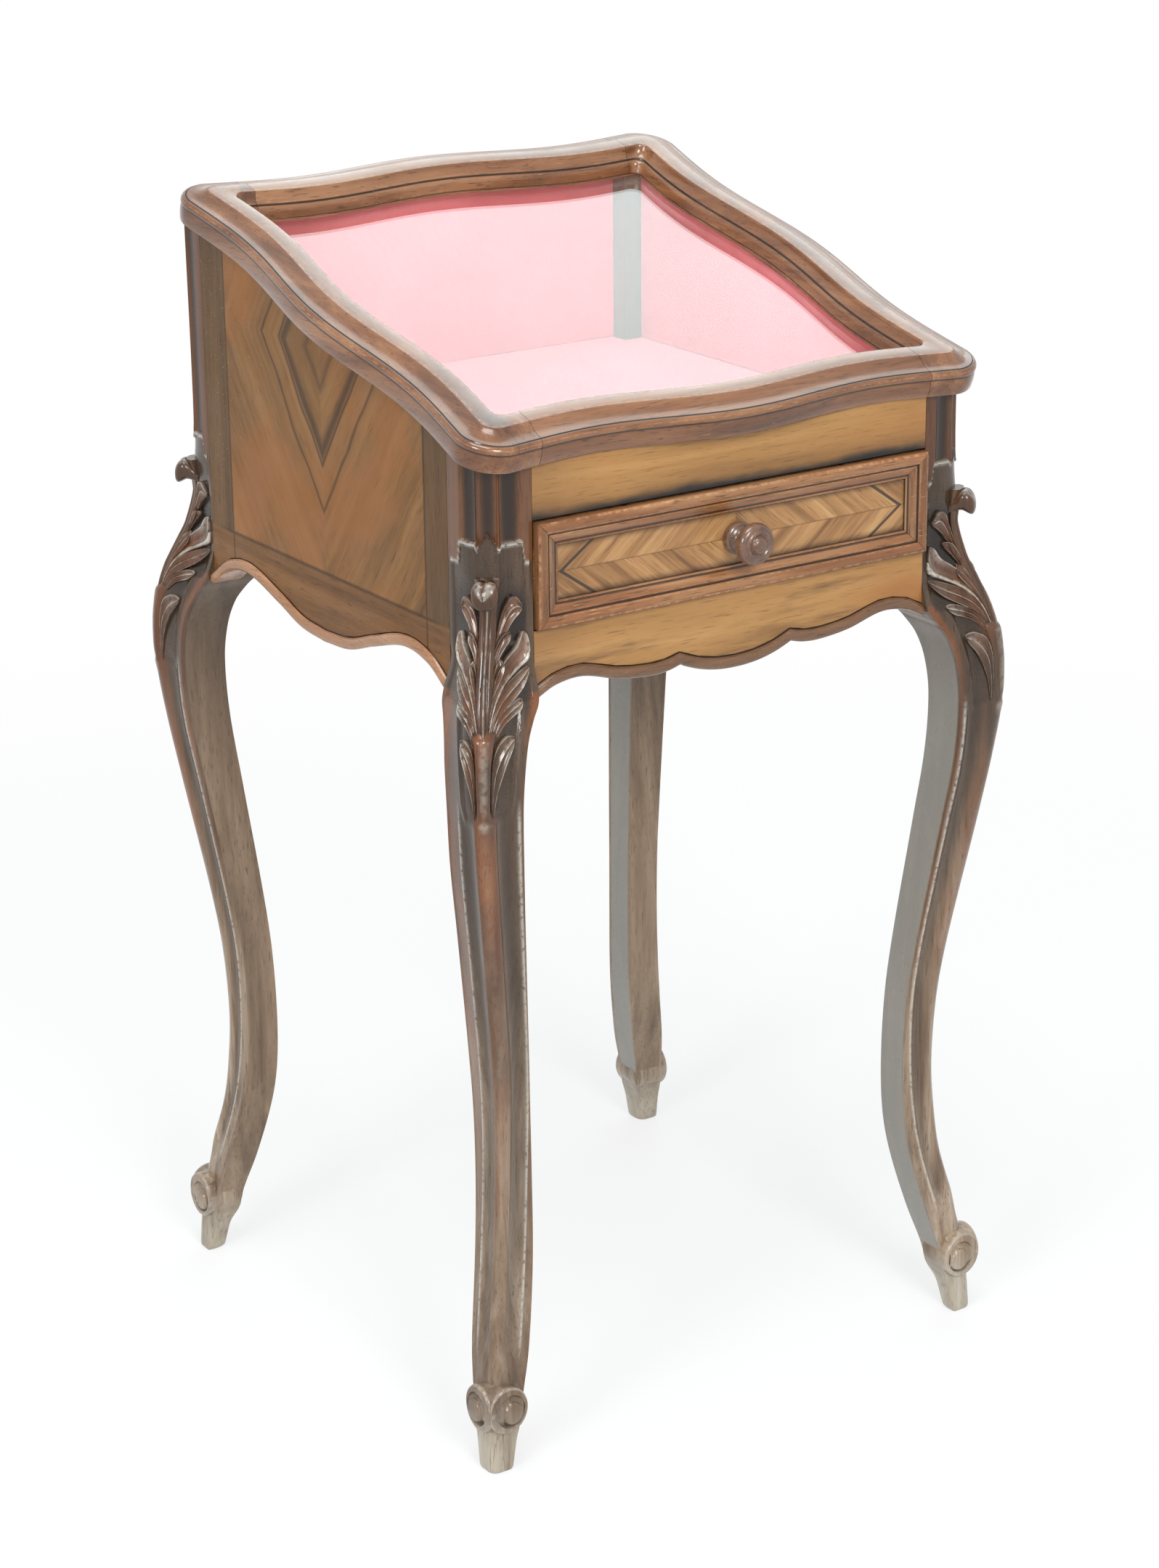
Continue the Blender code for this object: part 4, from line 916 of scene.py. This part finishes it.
def ear_mesh(name, sign_x, sign_y):
    """The leaf's curled tip: a beak with a rounded end and a flat underside, and a groove over its brow."""
    out = Vector((sign_x, sign_y, 0)).normalized()
    across = Vector((sign_x, -sign_y, 0)).normalized()
    corner = Vector((sign_x * CASE_HALF, sign_y * CASE_HALF, LEG_HEIGHT)) + across * (sign_y * CARVING_SHIFT)
    rings, brow = [], []
    for share in np.sin(np.linspace(0, 1, 30) * math.pi / 2):
        place = EAR[0][0] + (EAR[-1][0] - EAR[0][0]) * share
        top, low, half = along_curve(EAR, place)
        ring = []
        for angle in np.linspace(0, math.tau, 44, endpoint=False):
            c, s = math.cos(angle), math.sin(angle)
            groove = 0.0010 * math.exp(-((c - 0.1) / 0.18) ** 2) * max(0.0, s)
            height = (top + low) / 2 + (top - low) / 2 * math.copysign(abs(s) ** 0.75, s) - groove
            sideways = half * math.copysign(abs(c) ** 0.85, c)
            ring.append(corner + out * float(place) + across * sideways + Vector((0, 0, height)))
            brow.append(max(0.0, s) - 600 * groove)
        rings.append(ring)
    mesh = skin(name, rings)
    brow = np.array(brow)
    # Painted light: pale on top with wear and painted highlights, darker with painted shade underneath and
    # in the groove
    mark(mesh, relief=0.5 * brow - 0.25, warm=0.25, worn=0.45 * step_smooth(0.5, 0.9, brow))
    return mesh


VOLUTE_HEIGHT, VOLUTE_SIDE, VOLUTE_RADIUS, VOLUTE_FACE, VOLUTE_ROOT = 0.0455, 0.0015, 0.0165, 0.0165, -0.008
VOLUTE_SQUEEZE, VOLUTE_DEPTH, BUTTON_RISE = 0.92, 0.0036, 0.0014
# Round parts of the face before it is squeezed: place to the side and up, then radius
VOLUTE_WELL, VOLUTE_BUTTON = (-0.0018, -0.0008, 0.0118), (-0.0034, -0.0022, 0.0080)


def volute_mesh(name, out, side):
    """A scroll of the foot: a drum that winds in to a button standing in a well."""
    root = out * CASE_HALF + side * (CASE_HALF + VOLUTE_SIDE) + Vector((0, 0, VOLUTE_HEIGHT))
    up = Vector((0, 0, 1))
    shares = np.concatenate([np.linspace(0.02, 0.93, 34), 1 - 0.07 * (1 - np.linspace(0.2, 1, 6)) ** 2])
    rings, relief = [], []
    for share in shares:
        ring = []
        for angle in np.linspace(0, math.tau, 72, endpoint=False):
            x, z = VOLUTE_RADIUS * share * math.cos(angle), VOLUTE_RADIUS * share * math.sin(angle)
            in_well = VOLUTE_WELL[2] - math.hypot(x - VOLUTE_WELL[0], z - VOLUTE_WELL[1])
            off_button = math.hypot(x - VOLUTE_BUTTON[0], z - VOLUTE_BUTTON[1]) - VOLUTE_BUTTON[2]
            well = step_smooth(0.0, 0.0009, in_well) * step_smooth(0.0, 0.0008, off_button)
            ledge = 1 - step_smooth(0.0012, 0.0020, off_button)
            button = 1 - step_smooth(-0.0010, 0.0, off_button)
            rim = 0.0016 * max(0.0, (share - 0.90) / 0.10) ** 3
            face = VOLUTE_FACE - VOLUTE_DEPTH * well * (1 - 0.4 * ledge) + BUTTON_RISE * button - rim
            ring.append(root + out * float(face) + side * (VOLUTE_SQUEEZE * x) + up * z)
            # The rim is pale with wear and painted highlight, and the well dark with painted shade and dirt
            rim_wear_and_highlight = step_smooth(0.86, 0.94, share) + 0.5 * button
            relief.append(0.8 * rim_wear_and_highlight - 1.2 * well)
        rings.append(ring)
    rings.append([point + out * (VOLUTE_ROOT - VOLUTE_FACE) for point in rings[-1]])
    mesh = skin(name, rings)
    mark(mesh, relief=np.pad(np.array(relief), (0, len(mesh.vertices) - len(relief))), warm=0.4)
    return mesh


def joined(target, others):
    """The target mesh with closed meshes welded to it."""
    base = put_in(target.name, target)
    helpers = []
    for other in others:
        helper = put_in(other.name, other)
        union = base.modifiers.new(other.name, "BOOLEAN")
        union.operation, union.solver, union.object = "UNION", "MANIFOLD", helper
        helpers.append(helper)
    seen = base.evaluated_get(bpy.context.evaluated_depsgraph_get())
    made = bpy.data.meshes.new_from_object(seen)
    for helper in helpers + [base]:
        bpy.data.objects.remove(helper)
    return made


leaf_parts = []
for upper, lower, channels, rise, wear in PETALS:
    for side in (1, -1):
        rings, ridges, tips = petal_rings(upper, lower, channels, rise, side)
        # Painted shade, partly dirt, in the channels, painted highlights, partly wear, on the ridges, and
        # tips pale with wear
        fields = {"relief": ridges * 1.3 - 0.35, "warm": 0.75 - 0.4 * ridges,
                  "worn": wear * tips * (0.25 + ridges)}
        leaf_parts.append((rings, fields))
rings, ridges = web_rings()
leaf_parts.append((rings, {"relief": ridges, "warm": 0.3 + 0 * ridges}))

for corner, (sign_x, sign_y) in CORNERS.items():
    label = "carved_leg_" + corner
    carved = []
    for i, (rings, fields) in enumerate(leaf_parts):
        part = skin(f"{label}_petal_{i}", stand(rings, sign_x, sign_y))
        mark(part, **{name: np.clip(field, -1, 1).ravel() for name, field in fields.items()})
        carved.append(part)
    added = [ear_mesh(label + "_ear", sign_x, sign_y)]
    for axis, out, side in (("x", Vector((sign_x, 0, 0)), Vector((0, sign_y, 0))),
                            ("y", Vector((0, sign_y, 0)), Vector((sign_x, 0, 0)))):
        added.append(volute_mesh(f"{label}_scroll_{axis}", out, side))
    solid = joined(leg_mesh(label, sign_x, sign_y), [joined(carved[0], carved[1:])] + added)
    solid.name = label
    piece(label, solid, CARVED, "case", ["leg_" + corner], sharp=38)


# Boards and beads

BEAD, BEAD_PROUD = 0.0085, 0.0035
SIDE_EDGE = mm((0, -12), (30, -9.5), (60, 0), (100, 10.3), (130, 6), (153, -8))
LOBE, CUSP, CUSP_AT, CUSP_SHARPNESS = -0.0150, -0.0055, 0.0435, 2.2
FRONT_EDGE = ((CUSP_AT, CUSP), (0.053, -0.0079), (0.066, -0.0087), (0.090, -0.0062), (0.118, 0.0008),
              (0.138, -0.0012), (0.153, -0.0080))


def side_edge(along):
    return LEG_HEIGHT + along_curve(SIDE_EDGE, abs(along))[0]


def front_edge(along):
    if abs(along) < CUSP_AT:
        return LEG_HEIGHT + LOBE + (CUSP - LOBE) * (abs(along) / CUSP_AT) ** CUSP_SHARPNESS
    return LEG_HEIGHT + along_curve(FRONT_EDGE, abs(along))[0]


FACES = {
    "front_bead": (front_edge, lambda along, out: (along, -out), BEAD_X),
    "back_bead": (side_edge, lambda along, out: (along, out), BEAD_X),
    "side_bead_left": (side_edge, lambda along, out: (-out, along), BEAD_Y),
    "side_bead_right": (side_edge, lambda along, out: (out, along), BEAD_Y),
}


def bead_section():
    """A rounded nose with a fine quirk over it: distance out and height."""
    section = [(INNER, BEAD), (INNER, 0.0006), (INNER + 0.0006, 0.0)]
    for angle in np.linspace(-0.5 * math.pi, 0.42 * math.pi, 16):
        section.append((CASE_HALF + BEAD_PROUD * math.cos(angle), 0.47 * BEAD * (1 + math.sin(angle))))
    quirk = 0.955 * BEAD
    return section + [(CASE_HALF + 0.0004, quirk), (CASE_HALF - 0.0006, quirk), (CASE_HALF - 0.0008, BEAD)]


for bead_name, (edge_at, spot, paint) in FACES.items():
    places = sorted({*np.linspace(-BOARD_HALF, BOARD_HALF, 133), -CUSP_AT, CUSP_AT})
    rings = []
    for along in places:
        base = edge_at(along)
        rings.append([(*spot(along, out), base + up) for out, up in bead_section()])
    mesh = skin(bead_name, rings)
    # The quirk's points are marked for painted shade, and one inner edge for rubbed paleness
    mark(mesh, relief=np.tile([0, 0, 0.6] + [0] * 16 + [-1, -1, -1], len(rings)))
    piece("turned_" + bead_name, mesh, paint, "case", [bead_name])

SOFT_EDGE = 0.0006
dress("back_panel", BACK, 0.0005)
dress("front_rail", golden_rail(), SOFT_EDGE)
dress("front_apron", golden_apron(), SOFT_EDGE)
dress("drawer_front", herringbone(), SOFT_EDGE)
dress("drawer_back", PLAIN_X, SOFT_EDGE)
dress("drawer_bottom", PLAIN_X)
dress("display_floor", PLAIN_X)
dress("glass_pane", GLASS)
for side in ("left", "right"):
    dress("side_panel_" + side, veneer("side_veneer_" + side), SOFT_EDGE)
    dress("floor_cleat_" + side, PLAIN_Y)
    dress("drawer_runner_" + side, PLAIN_Y)
    dress("drawer_side_" + side, PLAIN_Y, SOFT_EDGE)
    for joint in ("hinge_case_leaf_", "hinge_lid_leaf_", "hinge_pin_"):
        dress(joint + side, BRASS)
    for hole in "ab":
        dress(f"case_screw_{side}_{hole}", BRASS)
        dress(f"lid_screw_{side}_{hole}", BRASS)
for name, paint in (("front", LID_X), ("back", LID_X), ("left", LID_Y), ("right", LID_Y)):
    dress("glazing_bead_" + name, paint)


# Lining: cloth drawn over card, with soft edges

CARD_ROUND = 0.0007


def drawn_in(outline, distance):
    """A closed outline of (a, b) points, run anticlockwise, moved inward."""
    moved = []
    for i, here in enumerate(outline):
        before, after = outline[i - 1], outline[(i + 1) % len(outline)]
        one = Vector((here[0] - before[0], here[1] - before[1])).normalized()
        two = Vector((after[0] - here[0], after[1] - here[1])).normalized()
        inward_one, inward_two = Vector((-one.y, one.x)), Vector((-two.y, two.x))
        shift = (inward_one + inward_two) / (1 + inward_one.dot(inward_two))
        moved.append((here[0] + distance * shift.x, here[1] + distance * shift.y))
    return moved


def covered_card(node, outline, spot):
    """A thin board wrapped in cloth: its outline at several depths, rounded at both faces."""
    low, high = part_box(node)
    thickness, *size = sorted((high - low)[:])
    rings = []
    for angle in np.linspace(0, math.pi / 2, 5):
        rings.append((CARD_ROUND * (1 - math.sin(angle)), CARD_ROUND * (1 - math.cos(angle))))
    rings += [(inset, thickness - depth) for inset, depth in reversed(rings)]
    loops = [[spot(a, b, depth) for a, b in drawn_in(outline, inset)] for inset, depth in rings]
    made = piece("cloth_" + node, skin(node, loops), CLOTH, "case", [node])


low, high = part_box("lining_floor")
reach, notch = high.x, BOARD_HALF
floor_outline = []
for turn in range(4):
    sine, cosine = round(math.sin(turn * math.pi / 2)), round(math.cos(turn * math.pi / 2))
    for a, b in ((reach, -notch), (reach, notch), (notch, notch)):
        floor_outline.append((a * cosine - b * sine, a * sine + b * cosine))
covered_card("lining_floor", floor_outline, lambda a, b, depth: (a, b, low.z + depth))

# Distance of the lining's upper edge under the lid's seat
LINING_TOP = 0.0031
for side, sign in (("left", -1), ("right", 1), ("front", -1), ("back", 1)):
    node = "lining_" + side
    low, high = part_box(node)
    near = high if sign < 0 else low
    top = seat_height(low.y, LINING_TOP)
    if side in ("left", "right"):
        outline = [(low.y, low.z), (high.y, low.z), (high.y, high.z), (low.y, top)]
        covered_card(node, outline, lambda a, b, depth: (near.x + sign * depth, a, b))
    else:
        outline = [(low.x, low.z), (high.x, low.z), (high.x, top), (low.x, top)]
        covered_card(node, outline, lambda a, b, depth: (a, near.y + sign * depth, b))


# Lid

LID_OVERHANG, JOINT_FROM_EDGE = 0.0065, 0.0465
LID_HALF = CASE_HALF + LID_OVERHANG
LID_BACK_SET, LID_THICKNESS = 0.0072, 0.0225
LID_WAVE, LID_WAVE_LENGTH, LID_CORNER, LID_INNER_CORNER = 0.0043, 0.212, 0.024, 0.007
LID_JOINT = LID_HALF - JOINT_FROM_EDGE
SIGHT, GLASS_DEPTH, REBATE = 0.0380, 0.0170, 0.0305
# Frame section: distance in from the edge, and depth under the top
LID_SECTION = [(REBATE, GLASS_DEPTH), (REBATE, LID_THICKNESS), (0.0018, LID_THICKNESS)]
LID_SECTION += mm(
    (1, 22.2), (0.7, 21.4), (0.3, 18), (0.2, 15), (0.4, 12), (0.8, 10.4), (0.5, 9.9), (0.1, 9.2),
    (0.1, 8.2), (0.5, 7), (1.3, 6), (2.3, 5.4), (3, 5.3), (3.3, 5.8), (3.7, 4.9), (4.8, 4.7), (6.4, 4.5),
    (8.4, 4.1), (10.4, 3.5), (12.4, 2.7), (14.2, 1.8), (15.7, 0.9), (16.8, 0.3), (17.7, 0), (23.5, 0),
    (29.5, 0), (30.1, 0.2), (30.4, 0.7), (30.7, 2.2), (31.3, 4.2), (32.2, 6.2), (33.3, 7.7),
    (34.1, 8.3), (34.3, 9.2), (34.9, 9), (35.7, 9.5), (36.5, 10.7), (37.1, 12.4), (37.3, 14),
    (37.7, 15.5),
)
LID_SECTION.append((SIGHT, GLASS_DEPTH))
LID_QUIRKS, LID_EDGES = [8, 9, 15, 16, 17, 35, 36, 37], [12, 26, 28]


def wave(along):
    return LID_WAVE * math.cos(math.tau * along / LID_WAVE_LENGTH)


def moulded(name, rings, quirks, edges):
    """A mesh of one section along its rings, with the points at its quirks marked for painted shade and at
    its edges for rubbed paleness.
    """
    level = np.zeros(len(rings[0]))
    level[quirks] = -1
    level[edges] = 0.8
    mesh = skin(name, rings)
    mark(mesh, relief=np.tile(level, len(rings)))
    return mesh


def lid_piece(node, path, sign, paint):
    """A piece of the lid: its section led along a path, given for each distance in from the edge."""
    lines = []
    for inset, depth in LID_SECTION:
        lines.append([lid_place(x, s - LID_BACK_SET, LID_THICKNESS - depth) for x, s in path(inset, sign)])
    mesh = moulded(node, np.swapaxes(lines, 0, 1), LID_QUIRKS, LID_EDGES)
    piece("moulded_" + node, mesh, paint, "lid", [node])


def rail_path(inset, end):
    half = LID_JOINT - GAP / 2
    return [(x, end * (LID_HALF - inset + wave(x))) for x in np.linspace(-half, half, 61)]


def stile_path(inset, side):
    """From the front joint round a corner, along the side, and round the other corner to the back joint."""
    edge, joint = LID_HALF - inset, LID_JOINT + GAP / 2
    start = edge - max(LID_CORNER - inset, LID_INNER_CORNER)
    reach = edge + wave(start) - start
    end = []
    for share in (0.0, 0.33, 0.67):
        x = joint + share * (start - joint)
        end.append((x, edge + wave(x)))
    for angle in np.linspace(0, math.pi / 2, 13)[:-1]:
        end.append((start + reach * math.sin(angle), start + reach * math.cos(angle)))
    front = [(side * x, -s) for x, s in end]
    back = [(side * x, s) for x, s in reversed(end)]
    return front + [(side * (edge + wave(s)), s) for s in np.linspace(-start, start, 61)] + back


for end_name, end in (("front", -1), ("back", 1)):
    lid_piece("lid_rail_" + end_name, rail_path, end, LID_X)
for side_name, side in (("left", -1), ("right", 1)):
    lid_piece("lid_stile_" + side_name, stile_path, side, LID_Y)


# Drawer mouldings and knob

front_low, front_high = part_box("drawer_front")
FRONT_MIDDLE = (front_low.z + front_high.z) / 2
# Moulding section: distance in from the drawer front's edge, and height over its face
MOULDING_SECTION = [(0.0, GAP)]
MOULDING_SECTION += mm(
    (0, 4.4), (0.4, 5.2), (1.3, 5.8), (3, 6), (5.6, 5.8), (6.9, 5.3), (7.6, 4.6), (7.8, 3.8), (8.6, 3.6),
    (8.9, 4), (9.9, 3.8), (11.3, 3.2), (12.8, 2.4), (14.1, 1.8), (14.9, 1.6), (15.2, 1.9), (16.1, 1.8),
    (16.5, 1.4),
)
MOULDING_SECTION.append((0.0165, GAP))
MOULDING_QUIRKS, MOULDING_EDGES = [7, 8, 9, 14, 15, 18, 19], [2, 3, 6, 10, 16]
for strip, (run_x, run_z) in {"top": (0, 1), "bottom": (0, -1), "left": (-1, 0), "right": (1, 0)}.items():
    rings = []
    for share in np.linspace(-1, 1, 25):
        ring = []
        for inset, proud in MOULDING_SECTION:
            half_x, half_z = front_high.x - inset, (front_high.z - front_low.z) / 2 - inset
            x = run_x * half_x if run_x else share * (half_x - GAP / 2)
            z = run_z * half_z if run_z else share * (half_z - GAP / 2)
            ring.append((x, front_low.y - proud, FRONT_MIDDLE + z))
        rings.append(ring)
    node = "drawer_moulding_" + strip
    mesh = moulded(node, rings, MOULDING_QUIRKS, MOULDING_EDGES)
    piece("moulded_" + node, mesh, STRIP_X if run_z else STRIP_Z, "drawer", [node], sharp=30)

# Knob's outline: radius and height over the face, down to its pin
KNOB_OUTLINE = mm(
    (0, 28), (2, 27.95), (3.6, 27.6), (4.6, 27), (5.2, 26.2), (5.5, 25.4), (6, 25), (6.6, 25.2),
    (7.4, 25.75), (8.4, 25.8), (9.2, 25.4), (9.6, 24.9), (10.2, 24.9), (11.4, 24.6), (12.6, 23.6),
    (13.4, 22), (13.7, 20.3), (13.5, 18.6), (12.7, 17.1), (11.3, 16), (9.4, 15.1), (7.6, 14),
    (6.6, 12.6), (6.2, 11), (6.3, 9.6), (7, 8.4), (8.2, 7.6), (8.9, 7.2), (9.2, 6.6), (9.1, 6),
    (9.9, 5.6), (10.6, 4.8), (10.7, 3.6), (10.5, 2.2),
)
KNOB_OUTLINE += [(0.0100, GAP), (0.0050, GAP), (0.0050, -0.0180), (0.0, -0.0180)]
knob_place = Matrix.Translation((0, front_low.y, FRONT_MIDDLE)) @ Matrix.Rotation(math.pi / 2, 4, "X")
knob_mesh = turned("knob", KNOB_OUTLINE, knob_place, 64)
piece("turned_knob", knob_mesh, DARK, "drawer", ["knob"], sharp=30)


# Floor, light and camera

FLOOR_HALF = 20.0


def floor_paint():
    """Pale floor: lit as any surface near the object, and white further off where the camera sees it."""
    p = Paint("pale_floor")
    p.set(Base_Color=(0.82, 0.84, 0.85), Roughness=0.9, Specular_IOR_Level=0.1)
    x, y, _ = p.parts(p.place())
    away = p.maths("SQRT", p.plus(p.times(x, x), p.times(y, y)))
    p.swap(p.times(p.seen(), p.span(away, 0.3, 1.8, 0.70, 1.0)), "Emission", (1, 1, 1))
    return p.owner


floor_mesh = bpy.data.meshes.new("floor")
floor_corners = [(x * FLOOR_HALF, y * FLOOR_HALF, 0) for x, y in ((-1, -1), (1, -1), (1, 1), (-1, 1))]
floor_mesh.from_pydata(floor_corners, [], [(0, 1, 2, 3)])
floor_mesh.materials.append(floor_paint())
floor = put_in("floor", floor_mesh)

room = Paint("white_room", world=True)
room.set(Color=(1, 1, 1), Strength=0.50)
room.swap(room.seen(), "Background", (0.99, 1.0, 1.0))
scene.world = room.owner


def lamp(name, location, target, width, power, colour=(1, 1, 1)):
    light = bpy.data.lights.new(name, "AREA")
    light.color = colour
    light.shape = "SQUARE"
    light.size = width
    light.energy = power
    made = put_in(name, light)
    made.location = location
    made.rotation_euler = (Vector(target) - Vector(location)).to_track_quat("-Z", "Y").to_euler()


MIDDLE = (0, 0, 0.55)
lamp("front_softbox", (-0.6, -3.0, 2.2), MIDDLE, 1.0, 60)
lamp("side_softbox", (-2.8, -1.2, 1.7), MIDDLE, 0.9, 34)
lamp("top_softbox", (-0.6, -0.5, 3.0), MIDDLE, 1.2, 34)
lamp("window", (1.05, 0.98, 2.05), (0, -0.02, 0.72), 1.5, 11, (0.82, 0.98, 1.0))

PHOTO_HEIGHT, FOCAL_PIXELS, SENSOR = 2160, 4790, 36
CAMERA_PLACE, CAMERA_SLIDE = (-1.2603, -1.895, 1.1902), (-0.0012, 0, 0)
AZIMUTH, ELEVATION, ROLL = math.radians(-33.80), math.radians(19.59), math.radians(-0.60)
camera_data = bpy.data.cameras.new("camera")
camera_data.sensor_fit = "VERTICAL"
camera_data.sensor_height = SENSOR
camera_data.sensor_width = SENSOR
camera_data.lens = FOCAL_PIXELS * SENSOR / PHOTO_HEIGHT
camera = put_in("camera", camera_data)
scene.camera = camera
heading = Matrix.Rotation(AZIMUTH, 4, "Z") @ Matrix.Translation(CAMERA_SLIDE)
tilt = Matrix.Rotation(math.pi / 2 - ELEVATION, 4, "X") @ Matrix.Rotation(ROLL, 4, "Z")
camera.matrix_world = Matrix.Translation(CAMERA_PLACE) @ heading @ tilt

scene.view_settings.view_transform = "Standard"

bpy.context.view_layer.update()
